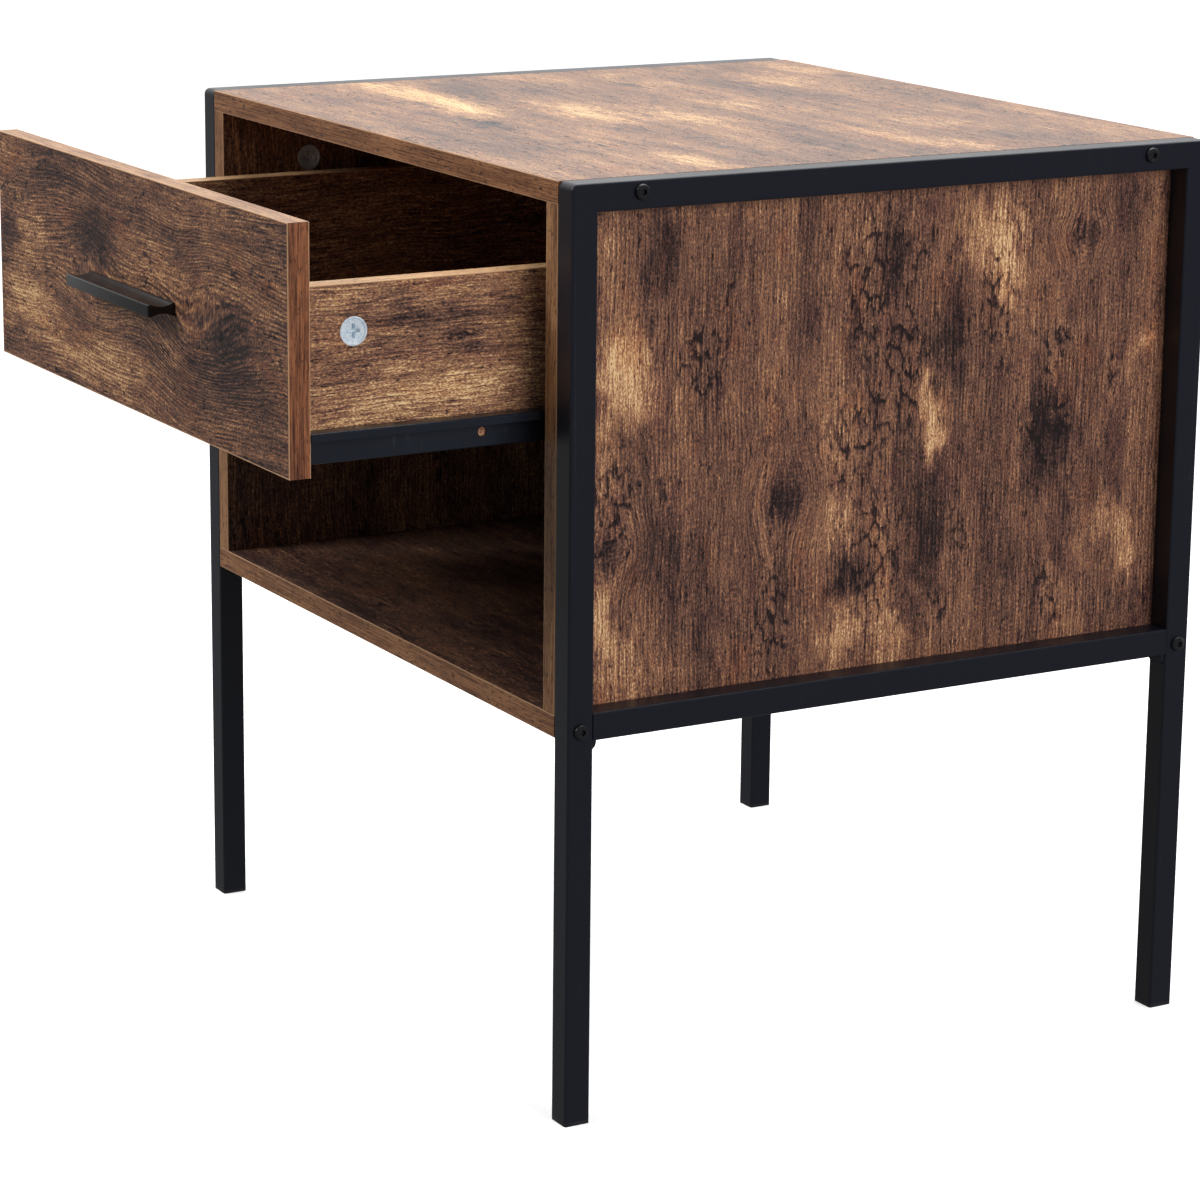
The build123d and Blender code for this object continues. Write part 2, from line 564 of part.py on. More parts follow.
# ---- Drawer ---------------------------------------------------------------------------------
FLOOR_Z = (FLOOR_LOW, FLOOR_LOW + BACK_SHEET)
HANDLE_SCREW_IN = 4.5
HANDLE_SCREW_D = 4.0
DRAWER_DOWEL_D = 6.0
DRAWER_BACK_Y = (BOX_END_Y - BOARD, BOX_END_Y)
BACK_SCREW_Y = BOX_END_Y - BOARD / 2
BACK_SCREW_Z = (398.0, 432.0)
BACK_SCREW_L = 32.0
CORE_TOP = SIDE_HIGH - BAND
EASE = 0.4  # chamfer of the drawer sides' lower edges and of the handle's lip

with BuildPart() as drawer_front:
    slab(
        (-FRONT_PANEL_W / 2 + BAND, FRONT_PANEL_W / 2 - BAND),
        (FACE_Y, BOX_Y),
        (FRONT_PANEL_LOW + BAND, FRONT_PANEL_HIGH - BAND),
    )
    slab(
        (-BOX_IN_X - FLOOR_GROOVE, BOX_IN_X + FLOOR_GROOVE),
        (BOX_Y - FLOOR_GROOVE, BOX_Y),
        FLOOR_Z,
        Mode.SUBTRACT,
    )
    for side in (-1, 1):
        bore(side * SIDE_MID_X, BOX_Y, DRAWER_CAM_Z, (0, -1, 0), BOLT_D, CAM_BOLT_IN)
        bore(side * SIDE_MID_X, BOX_Y, DRAWER_DOWEL_Z, (0, -1, 0), DRAWER_DOWEL_D, DOWEL_IN_FACE)
        bore(side * HANDLE_HOLE_SPACING / 2, BOX_Y, HANDLE_Z, (0, -1, 0), HANDLE_SCREW_D, BOARD)
write(drawer_front, "drawer_front")

with BuildPart() as drawer_front_bands:
    front_y = (FACE_Y, BOX_Y)
    half = FRONT_PANEL_W / 2
    for low in (FRONT_PANEL_LOW, FRONT_PANEL_HIGH - BAND):
        band_strip((-half, half), front_y, (low, low + BAND), Axis.X)
    for low in (-half, half - BAND):
        band_strip((low, low + BAND), front_y, (FRONT_PANEL_LOW + BAND, FRONT_PANEL_HIGH - BAND), Axis.Z)
write(drawer_front_bands, "drawer_front_bands")

with BuildPart() as drawer_side:
    slab((BOX_IN_X, BOX_X), (BOX_Y, BOX_END_Y), (SIDE_LOW, CORE_TOP))
    chamfer(drawer_side.edges().filter_by(Axis.Y).group_by(Axis.Z)[0], EASE)
    slab((BOX_IN_X, BOX_IN_X + FLOOR_GROOVE), (BOX_Y, BOX_END_Y), FLOOR_Z, Mode.SUBTRACT)
    bore(BOX_X, DRAWER_CAM_Y, DRAWER_CAM_Z, (-1, 0, 0), CAM_D, CAM_DEPTH)
    bore(SIDE_MID_X, BOX_Y, DRAWER_CAM_Z, (0, 1, 0), CAM_BORE_D, DRAWER_CAM_Y - BOX_Y - 1)
    bore(SIDE_MID_X, BOX_Y, DRAWER_DOWEL_Z, (0, 1, 0), DRAWER_DOWEL_D, DOWEL_L - DOWEL_IN_FACE)
    for z in BACK_SCREW_Z:
        bore(BOX_X, BACK_SCREW_Y, z, (-1, 0, 0), SCREW_D, BOARD)
        bore(BOX_X, BACK_SCREW_Y, z, (-1, 0, 0), SLIDE_SCREW_HEAD_D, SLIDE_SCREW_HEAD_H)
    for y in DRAWER_SLIDE_SCREW_Y:
        bore(DRAWER_SLIDE_SCREW_X, y, SIDE_LOW, (0, 0, 1), SCREW_D, SCREW_IN)
write_pair(drawer_side, "drawer_side")

with BuildPart() as drawer_back:
    slab((-BOX_IN_X, BOX_IN_X), DRAWER_BACK_Y, (SIDE_LOW, CORE_TOP))
    groove_y = (DRAWER_BACK_Y[0], DRAWER_BACK_Y[0] + FLOOR_GROOVE)
    slab((-BOX_IN_X, BOX_IN_X), groove_y, FLOOR_Z, Mode.SUBTRACT)
    for side in (-1, 1):
        for z in BACK_SCREW_Z:
            bore(side * BOX_IN_X, BACK_SCREW_Y, z, (-side, 0, 0), SCREW_D, BACK_SCREW_L - BOARD)
write(drawer_back, "drawer_back")

with BuildPart() as drawer_floor:
    floor_y = (BOX_Y - FLOOR_GROOVE, DRAWER_BACK_Y[0] + FLOOR_GROOVE)
    slab((-BOX_IN_X, BOX_IN_X), floor_y, FLOOR_Z)
    inner_y = (BOX_Y - FLOOR_GROOVE, DRAWER_BACK_Y[0])
    for side in (-1, 1):
        wing = sorted((side * BOX_IN_X, side * (BOX_IN_X + FLOOR_GROOVE)))
        slab(wing, inner_y, FLOOR_Z)
write(drawer_floor, "drawer_floor")

with BuildPart() as drawer_side_band:
    band_strip((BOX_IN_X, BOX_X), (BOX_Y, BOX_END_Y), (CORE_TOP, SIDE_HIGH), Axis.Y)
write_pair(drawer_side_band, "drawer_side_band")

with BuildPart() as drawer_back_band:
    band_strip((-BOX_IN_X, BOX_IN_X), DRAWER_BACK_Y, (CORE_TOP, SIDE_HIGH), Axis.X)
write(drawer_back_band, "drawer_back_band")

with BuildPart() as drawer_cams:
    cam(BOX_X, DRAWER_CAM_Y, DRAWER_CAM_Z, (1, 0, 0), (0, -1, 0))
    mirror(drawer_cams.part, about=Plane.YZ)
write(drawer_cams, "drawer_cams")

with BuildPart() as drawer_cam_bolts:
    cam_bolt(SIDE_MID_X, BOX_Y, DRAWER_CAM_Z, (0, 1, 0), CAM_BOLT_IN)
    mirror(drawer_cam_bolts.part, about=Plane.YZ)
write(drawer_cam_bolts, "drawer_cam_bolts")

with BuildPart() as drawer_dowels:
    rod(SIDE_MID_X, BOX_Y - DOWEL_IN_FACE, DRAWER_DOWEL_Z, (0, 1, 0), DRAWER_DOWEL_D, DOWEL_L)
    mirror(drawer_dowels.part, about=Plane.YZ)
write(drawer_dowels, "drawer_dowels")

with BuildPart() as drawer_back_screws:
    for z in BACK_SCREW_Z:
        rod(BOX_X, BACK_SCREW_Y, z, (-1, 0, 0), SLIDE_SCREW_HEAD_D, SLIDE_SCREW_HEAD_H)
        rod(BOX_X, BACK_SCREW_Y, z, (-1, 0, 0), SCREW_D, BACK_SCREW_L)
    mirror(drawer_back_screws.part, about=Plane.YZ)
write(drawer_back_screws, "drawer_back_screws")

# ---- Handle ---------------------------------------------------------------------------------
# An extruded bar: a tall base on the drawer front, a hollowed waist and a flat lip.
HANDLE_FLANGE = 1.4
HANDLE_LIP = 2.2
handle_plane = Plane(origin=(-HANDLE_L / 2, FACE_Y, HANDLE_Z), x_dir=(0, 1, 0), z_dir=(1, 0, 0))
with BuildPart() as handle:
    with BuildSketch(handle_plane):
        with BuildLine():
            Line((0, -HANDLE_BASE_H / 2), (0, HANDLE_BASE_H / 2))
            for side in (-1, 1):
                base = side * HANDLE_BASE_H / 2
                lip = side * HANDLE_LIP_H / 2
                waist = side * HANDLE_WAIST_H / 2
                neck = HANDLE_LIP - HANDLE_DEPTH
                Line((0, base), (-HANDLE_FLANGE, base))
                ThreePointArc((-HANDLE_FLANGE, base), (-HANDLE_DEPTH / 2, waist), (neck, lip))
                Line((neck, lip), (-HANDLE_DEPTH, lip))
            Line((-HANDLE_DEPTH, -HANDLE_LIP_H / 2), (-HANDLE_DEPTH, HANDLE_LIP_H / 2))
        make_face()
    extrude(amount=HANDLE_L)
    chamfer(handle.faces().sort_by(Axis.Y)[0].edges(), EASE)
    for side in (-1, 1):
        bore(side * HANDLE_HOLE_SPACING / 2, FACE_Y, HANDLE_Z, (0, -1, 0), HANDLE_SCREW_D, HANDLE_SCREW_IN)
write(handle, "handle")

HANDLE_SCREW_HEAD_D = 8.0
HANDLE_SCREW_HEAD_H = 2.4
with BuildPart() as handle_screws:
    for side in (-1, 1):
        x = side * HANDLE_HOLE_SPACING / 2
        rod(x, BOX_Y, HANDLE_Z, (0, -1, 0), HANDLE_SCREW_D, BOARD + HANDLE_SCREW_IN)
        rod(x, BOX_Y, HANDLE_Z, (0, 1, 0), HANDLE_SCREW_HEAD_D, HANDLE_SCREW_HEAD_H)
write(handle_screws, "handle_screws")
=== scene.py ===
"""Looks of the side table with one drawer: its finishes, its small Blender-made pieces, light and camera."""

import logging
import math
from dataclasses import dataclass, field
from enum import Enum
from typing import Callable

import bpy
from mathutils import Matrix, Vector

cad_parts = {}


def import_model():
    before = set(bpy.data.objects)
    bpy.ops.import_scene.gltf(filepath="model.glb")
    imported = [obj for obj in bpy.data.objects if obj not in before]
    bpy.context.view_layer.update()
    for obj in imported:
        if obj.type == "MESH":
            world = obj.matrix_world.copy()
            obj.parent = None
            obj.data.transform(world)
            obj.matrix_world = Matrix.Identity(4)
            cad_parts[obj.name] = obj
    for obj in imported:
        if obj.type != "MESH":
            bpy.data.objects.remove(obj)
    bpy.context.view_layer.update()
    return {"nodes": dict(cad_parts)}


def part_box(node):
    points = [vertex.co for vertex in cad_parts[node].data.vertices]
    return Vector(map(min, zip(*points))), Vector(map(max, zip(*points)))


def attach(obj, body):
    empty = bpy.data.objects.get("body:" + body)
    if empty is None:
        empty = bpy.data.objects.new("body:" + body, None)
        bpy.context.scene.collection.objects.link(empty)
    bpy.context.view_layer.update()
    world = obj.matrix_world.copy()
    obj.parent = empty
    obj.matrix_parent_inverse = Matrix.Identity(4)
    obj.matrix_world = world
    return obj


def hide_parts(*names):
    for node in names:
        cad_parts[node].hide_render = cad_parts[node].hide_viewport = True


log = logging.getLogger("side_table")

MM = 0.001  # metres in a millimetre
Colour = tuple[float, float, float]


def srgb(red: int, green: int, blue: int) -> Colour:
    """The linear colour of an everyday 0 to 255 colour."""
    return tuple(
        c / 12.92 if c <= 0.04045 else ((c + 0.055) / 1.055) ** 2.4
        for c in (red / 255, green / 255, blue / 255)
    )


# ---- Shader writing ---------------------------------------------------------------------------


@dataclass(frozen=True)
class Signal:
    """An output socket that can be used in Python expressions."""

    graph: "Graph"
    socket: bpy.types.NodeSocket

    def _math(self, operation: str, first: "Signal | float", second: "Signal | float") -> "Signal":
        """One Math node."""
        return self.graph.out("ShaderNodeMath", {"operation": operation}, {0: first, 1: second})

    def __add__(self, other: "Signal | float") -> "Signal":
        """Sum."""
        return self._math("ADD", self, other)

    def __radd__(self, other: float) -> "Signal":
        """Sum with a number on the left."""
        return self._math("ADD", other, self)

    def __sub__(self, other: "Signal | float") -> "Signal":
        """Difference."""
        return self._math("SUBTRACT", self, other)

    def __rsub__(self, other: float) -> "Signal":
        """Difference from a number."""
        return self._math("SUBTRACT", other, self)

    def __mul__(self, other: "Signal | float") -> "Signal":
        """Product."""
        return self._math("MULTIPLY", self, other)

    def __rmul__(self, other: float) -> "Signal":
        """Product with a number on the left."""
        return self._math("MULTIPLY", other, self)

    def absolute(self) -> "Signal":
        """The value without its sign."""
        return self._math("ABSOLUTE", self, 0.0)

    def least(self, other: "Signal | float") -> "Signal":
        """The smaller of the two."""
        return self._math("MINIMUM", self, other)

    def most(self, other: "Signal | float") -> "Signal":
        """The larger of the two."""
        return self._math("MAXIMUM", self, other)

    def step(self, low: float, high: float, start: float = 0.0, end: float = 1.0) -> "Signal":
        """A smooth rise from start at low to end at high.

        Args:
            low: Value where the rise begins.
            high: Value where it is complete.
            start: Result below low.
            end: Result above high.

        Returns:
            The eased value.
        """
        return self.graph.out(
            "ShaderNodeMapRange",
            {"interpolation_type": "SMOOTHSTEP"},
            {0: self, 1: low, 2: high, 3: start, 4: end},
        )


class Graph:
    """The node tree of one material."""

    def __init__(self, name: str) -> None:
        """Starts an empty material.

        Args:
            name: The material's name.
        """
        self.material = bpy.data.materials.new(name)
        self.material.use_nodes = True
        self.tree = self.material.node_tree
        self.tree.nodes.clear()

    def node(self, kind: str, settings: dict | None = None, inputs: dict | None = None) -> bpy.types.Node:
        """Adds a node.

        Args:
            kind: The node's type.
            settings: Its own properties; "stops" fills a colour ramp.
            inputs: Values or signals for its sockets, by name or number.

        Returns:
            The node.
        """
        made = self.tree.nodes.new(kind)
        for key, value in (settings or {}).items():
            if key == "stops":
                self._fill_ramp(made.color_ramp, value)
            else:
                setattr(made, key, value)
        for key, value in (inputs or {}).items():
            if isinstance(value, Signal):
                self.tree.links.new(value.socket, made.inputs[key])
            else:
                made.inputs[key].default_value = value
        return made

    @staticmethod
    def _fill_ramp(ramp: bpy.types.ColorRamp, stops: list[tuple[float, Colour]]) -> None:
        """Sets the stops of a colour ramp."""
        while len(ramp.elements) < len(stops):
            ramp.elements.new(1.0)
        for element, (place, colour) in zip(ramp.elements, stops):
            element.position = place
            element.color = (*colour, 1.0)

    def out(
        self, kind: str, settings: dict | None = None, inputs: dict | None = None, output: int | str = 0
    ) -> Signal:
        """Adds a node and gives one of its outputs."""
        return Signal(self, self.node(kind, settings, inputs).outputs[output])

    def millimetres(self) -> Signal:
        """The object's own coordinates, in millimetres."""
        place = self.out("ShaderNodeTexCoord", output="Object")
        return self.out("ShaderNodeVectorMath", {"operation": "SCALE"}, {0: place, "Scale": 1 / MM})

    def axes(self, vector: Signal) -> dict[str, Signal]:
        """The X, Y and Z parts of a vector."""
        parts = self.node("ShaderNodeSeparateXYZ", inputs={0: vector})
        return {name: Signal(self, parts.outputs[name]) for name in "XYZ"}

    def combine(self, x: Signal | float, y: Signal | float, z: Signal | float) -> Signal:
        """A vector from three values."""
        return self.out("ShaderNodeCombineXYZ", inputs={0: x, 1: y, 2: z})

    def scaled(self, vector: Signal, factors: Colour) -> Signal:
        """A vector times three numbers."""
        return self.out("ShaderNodeVectorMath", {"operation": "MULTIPLY"}, {0: vector, 1: factors})

    def noise(self, vector: Signal, detail: float = 2.0, roughness: float = 0.5, stir: float = 0.0) -> Signal:
        """Fractal noise over a vector whose unit is about one blotch.

        Args:
            vector: Where the noise is read.
            detail: Number of finer layers.
            roughness: How strong the finer layers are.
            stir: How far the pattern is stirred.

        Returns:
            Noise around a half.
        """
        layers = {"Detail": detail, "Roughness": roughness, "Distortion": stir}
        inputs = {"Vector": vector, "Scale": 1.0, **layers}
        return self.out("ShaderNodeTexNoise", {"noise_dimensions": "3D"}, inputs)

    def cell_edges(self, vector: Signal) -> Signal:
        """Cell noise: the distance to the nearest cell edge."""
        settings, inputs = {"feature": "DISTANCE_TO_EDGE"}, {"Vector": vector, "Scale": 1.0}
        return self.out("ShaderNodeTexVoronoi", settings, inputs, "Distance")

    def ramp(self, value: Signal, stops: list[tuple[float, Colour]]) -> Signal:
        """A colour looked up along a ramp."""
        return self.out("ShaderNodeValToRGB", {"stops": stops}, {0: value})

    def mix(
        self, factor: Signal | float, first: Signal | Colour, second: Signal | Colour, blend: str = "MIX"
    ) -> Signal:
        """Mixes two colours.

        Args:
            factor: Share of the second colour.
            first: The colour below.
            second: The colour on top.
            blend: Blend mode.

        Returns:
            The mixed colour.
        """
        tints = [c if isinstance(c, Signal) else (*c, 1.0) for c in (first, second)]
        return self.out(
            "ShaderNodeMix",
            {"data_type": "RGBA", "blend_type": blend},
            {0: factor, 6: tints[0], 7: tints[1]},
            2,
        )

    def bump(self, height: Signal, strength: float, depth_mm: float) -> Signal:
        """A surface normal roughened by a height."""
        inputs = {"Strength": strength, "Distance": depth_mm * MM, "Height": height}
        return self.out("ShaderNodeBump", inputs=inputs)

    def surface(self, **inputs: "Signal | float | tuple") -> bpy.types.Material:
        """Ends the material with a Principled shader.

        Args:
            **inputs: The shader's sockets, with underscores for spaces.

        Returns:
            The finished material.
        """
        named = {key.replace("_", " "): value for key, value in inputs.items()}
        shader = self.out("ShaderNodeBsdfPrincipled", inputs=named, output="BSDF")
        self.node("ShaderNodeOutputMaterial", inputs={"Surface": shader})
        return self.material


# ---- Wood decor -------------------------------------------------------------------------------


class Grain(Enum):
    """How a board lies: its axes across the grain, through the board and along the grain."""

    UPRIGHT_SIDE = ("Y", "X", "Z")
    UPRIGHT_BACK = ("X", "Y", "Z")
    FLAT = ("Y", "Z", "X")
    STANDING_FRONT = ("Z", "Y", "X")
    STANDING_SIDE = ("Z", "X", "Y")


@dataclass(frozen=True)
class Patch:
    """A soft light or dark area of the decor, in millimetres."""

    across: float
    along: float
    wide: float
    long: float
    tone: float  # above zero is golden, below zero is dark


@dataclass(frozen=True)
class Knot:
    """A knot that the grain flows round, in millimetres."""

    across: float
    along: float
    wide: float
    long: float
    dark: float = 0.4
    flow: float = 0.6


DECOR_RAMP = [
    (0.0, srgb(30, 21, 22)),
    (0.18, srgb(58, 42, 40)),
    (0.38, srgb(98, 70, 60)),
    (0.54, srgb(132, 95, 76)),
    (0.7, srgb(164, 121, 90)),
    (0.85, srgb(198, 156, 114)),
    (1.0, srgb(234, 202, 156)),
]


RED_CAST = srgb(176, 108, 84)
PLUM_CAST = srgb(112, 108, 138)
OLIVE_CAST = srgb(150, 128, 60)
SEED_STEP = 137.0  # how far apart two seeds lie in the noise
PATCH_REACH = 1.6  # how far a patch fades out, in its own sizes
WORN_REACH = 1.5
WORN_STRENGTH = 1.5
KNOT_FLOW_REACH = 2.6
KNOT_HEART_REACH = 1.25
WAVE_PER_LINE = 0.314  # the wave texture repeats every 0.314 units
STREAKINESS = 0.42
PORE_DEPTH = 0.28
CRACK_DEPTH = 0.46
FLECK_LIFT = 0.14


@dataclass(frozen=True)
class Streak:
    """A noise stretched along the grain: its changes per millimetre and its finer layers."""

    across: float
    along: float
    detail: float
    roughness: float
    stir: float = 0.0
    layer: float = 0.0
    through: float = 0.0  # per millimetre through the board, in place of a fixed layer
    seed_in_layer: bool = False

    def read(self, g: Graph, across: Signal, through: Signal, along: Signal, shift: float) -> Signal:
        """The noise at a place on a board.

        Args:
            g: The material being made.
            across: Place across the grain, in millimetres.
            through: Place through the board.
            along: Place along the grain.
            shift: The board's own part of the noise.

        Returns:
            Noise around a half.
        """
        x: Signal = across * self.across
        y: Signal | float = through * self.through if self.through else self.layer
        if self.seed_in_layer:
            y = y + shift
        else:
            x = x + shift
        return g.noise(g.combine(x, y, along * self.along), self.detail, self.roughness, self.stir)


COARSE = Streak(0.42, 0.028, 3.0, 0.6, stir=0.15, through=0.2)
FINE = Streak(1.25, 0.085, 3.0, 0.62, stir=0.1, through=0.4)
SPECK = Streak(1.3, 0.62, 2.0, 0.65, through=0.7, seed_in_layer=True)
PORES = Streak(0.8, 0.2, 1.0, 0.4, layer=5.5)
FLECKS = Streak(0.9, 0.3, 1.0, 0.4, layer=9.0, seed_in_layer=True)
LONG_STREAKS = Streak(0.085, 0.006, 2.0, 0.55, stir=0.2, layer=4.3)
FLAKE = Streak(0.28, 0.07, 3.0, 0.72, layer=11.0)
BROAD = Streak(0.022, 0.0085, 3.0, 0.6, stir=0.4, layer=1.7)
RAGGED = Streak(0.055, 0.03, 4.0, 0.62, layer=3.1)
RAGGED_ALONG = Streak(0.05, 0.03, 3.0, 0.6, layer=7.7, seed_in_layer=True)
LINE_ZONE = Streak(0.03, 0.02, 2.0, 0.6, layer=6.2)
CRACK_ZONE = Streak(0.03, 0.016, 2.0, 0.6, layer=8.8)
BROKEN = Streak(0.22, 0.12, 1.0, 0.5, layer=1.1, seed_in_layer=True)
HUE = Streak(0.045, 0.02, 3.0, 0.7, layer=2.0, seed_in_layer=True)
GRIT = Streak(0.9, 0.5, 1.0, 0.5, layer=4.0, seed_in_layer=True)


@dataclass(frozen=True)
class RusticBoard:
    """The printed rustic decor on a board, with its own patches and knots."""

    name: str
    grain: Grain
    patches: tuple[Patch, ...] = ()
    knots: tuple[Knot, ...] = ()
    worn: tuple[Patch, ...] = ()
    seed: float = 0.0
    tone: float = 0.5
    wave_mm: float = 2.0
    wave_length_mm: float = 90.0
    mottle: float = 0.55
    shine: float = 0.5
    line_mm: float = 2.5
    lines: float = 0.2
    tint: Colour = (1.0, 1.0, 1.0)

    def _falloff(self, g: Graph, place: Signal, spot: Patch | Knot, reach: float) -> Signal:
        """One at a spot's middle, easing to nothing at reach times its size."""
        centred = g.out(
            "ShaderNodeVectorMath", {"operation": "SUBTRACT"}, {0: place, 1: (spot.across, 0.0, spot.along)}
        )
        shape = g.scaled(centred, (1 / spot.wide, 0.0, 1 / spot.long))
        distance = g.out("ShaderNodeVectorMath", {"operation": "LENGTH"}, {0: shape}, "Value")
        return distance.step(0.0, reach, 1.0, 0.0)

    def _patched(self, g: Graph, place: Signal, flake: Signal) -> Signal | float:
        """The golden patches less the dark ones, with flaking edges.

        Args:
            g: The material being made.
            place: Where a patch is looked up.
            flake: Noise that breaks the edges.

        Returns:
            What the patches add to the tone.
        """
        golden: Signal | float = 0.0
        shaded: Signal | float = 0.0
        for patch in self.patches:
            amount = self._falloff(g, place, patch, PATCH_REACH) * abs(patch.tone)
            if patch.tone > 0:
                golden = amount + golden
            else:
                shaded = amount + shaded
        change: Signal | float = 0.0
        if isinstance(golden, Signal):
            change = golden * (golden * 4.0 + (flake - 0.5) * 3.0).step(0.2, 1.0, 0.3, 1.1)
        if isinstance(shaded, Signal):
            change = change - shaded * (shaded * 3.6 - (flake - 0.5) * 3.0).step(0.2, 1.0, 0.35, 1.05)
        return change

    def _coloured(self, g: Graph, tone: Signal, read: Callable[[Streak], Signal]) -> Signal:
        """The print's colour: the tone on the ramp, shifted to red, plum and olive in places.

        Args:
            g: The material being made.
            tone: Place on the ramp.
            read: Reads a streak at this board's own place.

        Returns:
            The colour.
        """
        colour = g.ramp(tone, DECOR_RAMP)
        hue = read(HUE)
        redder = g.mix(hue.step(0.5, 0.74, 0.0, 0.32), colour, RED_CAST, "SOFT_LIGHT")
        plum = g.mix(hue.step(0.52, 0.3, 0.0, 0.6), redder, PLUM_CAST, "SOFT_LIGHT")
        gritty = g.mix(read(GRIT).step(0.45, 0.62, 0.0, 0.3), plum, OLIVE_CAST, "SOFT_LIGHT")
        return g.mix(1.0, gritty, self.tint, "MULTIPLY")

    def material(self) -> bpy.types.Material:
        """Builds the decor's material.

        Returns:
            The material.
        """
        g = Graph(self.name)
        axis = g.axes(g.millimetres())
        across, through, along = (axis[letter] for letter in self.grain.value)
        shift = self.seed * SEED_STEP

        def read(streak: Streak) -> Signal:
            """Reads a streak on the straight board."""
            return streak.read(g, across, through, along, shift)

        # The figure: slow waves, and grain that parts round the knots.
        slow_place = g.combine(
            across * (0.4 / self.wave_length_mm) + shift, self.seed, along * (1 / self.wave_length_mm)
        )
        bent = across + (g.noise(slow_place, 1.5, 0.5) - 0.5) * (2.0 * self.wave_mm)
        ragged, ragged_along = read(RAGGED), read(RAGGED_ALONG)
        spot_place = g.combine(across + (ragged - 0.5) * 34.0, 0.0, along + (ragged_along - 0.5) * 60.0)
        knot_place = g.combine(across + (ragged - 0.5) * 5.0, 0.0, along + (ragged_along - 0.5) * 8.0)
        knot_dark: Signal | float = 0.0
        for knot in self.knots:
            near = self._falloff(g, knot_place, knot, KNOT_FLOW_REACH)
            bent = bent - (across - knot.across) * near * knot.flow
            heart = self._falloff(g, knot_place, knot, KNOT_HEART_REACH) * knot.dark
            knot_dark = heart.most(knot_dark)

        def read_bent(streak: Streak) -> Signal:
            """Reads a streak that follows the figure."""
            return streak.read(g, bent, through, along, shift)

        # Grain at three scales, brushed lines, and pores.
        coarse, fine, speck = read_bent(COARSE), read_bent(FINE), read_bent(SPECK)
        brushed = g.out(
            "ShaderNodeTexWave",
            {"wave_type": "BANDS", "bands_direction": "X", "wave_profile": "SIN"},
            {
                "Vector": g.combine(bent * (WAVE_PER_LINE / self.line_mm), 0.0, 0.0),
                "Scale": 1.0,
                "Phase Offset": coarse * 9.0 + fine * 5.0,
            },
            "Fac",
        )
        lines = (brushed - 0.5) * read(LINE_ZONE).step(0.38, 0.6, 0.25, 1.0)
        pores = read_bent(PORES).step(0.64, 0.73)
        flecks = read_bent(FLECKS).step(0.63, 0.72)

        # Broad mottling, patches, and streaks along the grain.
        tone = self.tone + (read(BROAD) - 0.5) * self.mottle + (read_bent(LONG_STREAKS) - 0.5) * STREAKINESS
        tone = tone + self._patched(g, spot_place, read_bent(FLAKE))
        tone = tone + (coarse - 0.5) * 0.55 + (fine - 0.5) * 1.0 + (speck - 0.5) * 1.35 + lines * self.lines

        # Crackle where the board is worn.
        crack_place = g.combine(
            bent * 0.17 + (fine - 0.5) * 0.9, 0.3 + shift, along * 0.07 + (speck - 0.5) * 0.5
        )
        crack_zone = read(CRACK_ZONE).step(0.58, 0.7)
        for zone in self.worn:
            crack_zone = crack_zone.most(self._falloff(g, spot_place, zone, WORN_REACH) * WORN_STRENGTH)
        broken = read(BROKEN).step(0.42, 0.54)
        cracks = g.cell_edges(crack_place).step(0.03, 0.13, 1.0, 0.0) * crack_zone.least(1.0) * broken
        tone = tone - pores * PORE_DEPTH - cracks * CRACK_DEPTH + flecks * FLECK_LIFT - knot_dark

        height = (fine - 0.5) * 0.5 + (coarse - 0.5) * 0.3 + lines * 0.4 - pores * 0.5
        return g.surface(
            Base_Color=self._coloured(g, tone, read),
            Roughness=(0.5 + (fine - 0.5) * 0.22 + pores * 0.18).least(0.85),
            Normal=g.bump(height, 0.5, 0.12),
            Specular_IOR_Level=self.shine,
        )


class BandRun(Enum):
    """Which way an edge band runs, and the axis across its face."""

    LEVEL = ("X", "Z")
    UPRIGHT = ("Z", "X")
    DRAWER_SIDE = ("Y", "X")


LINES_PER_MM = 1.1
FINE_LINES_PER_MM = 2.6
# The band's light edge line, partly glue line and partly painted highlight: where it starts and where it is
# full
RIM_STARTS_MM = 0.75  # in from the band's edge
RIM_FULL_MM = 0.25


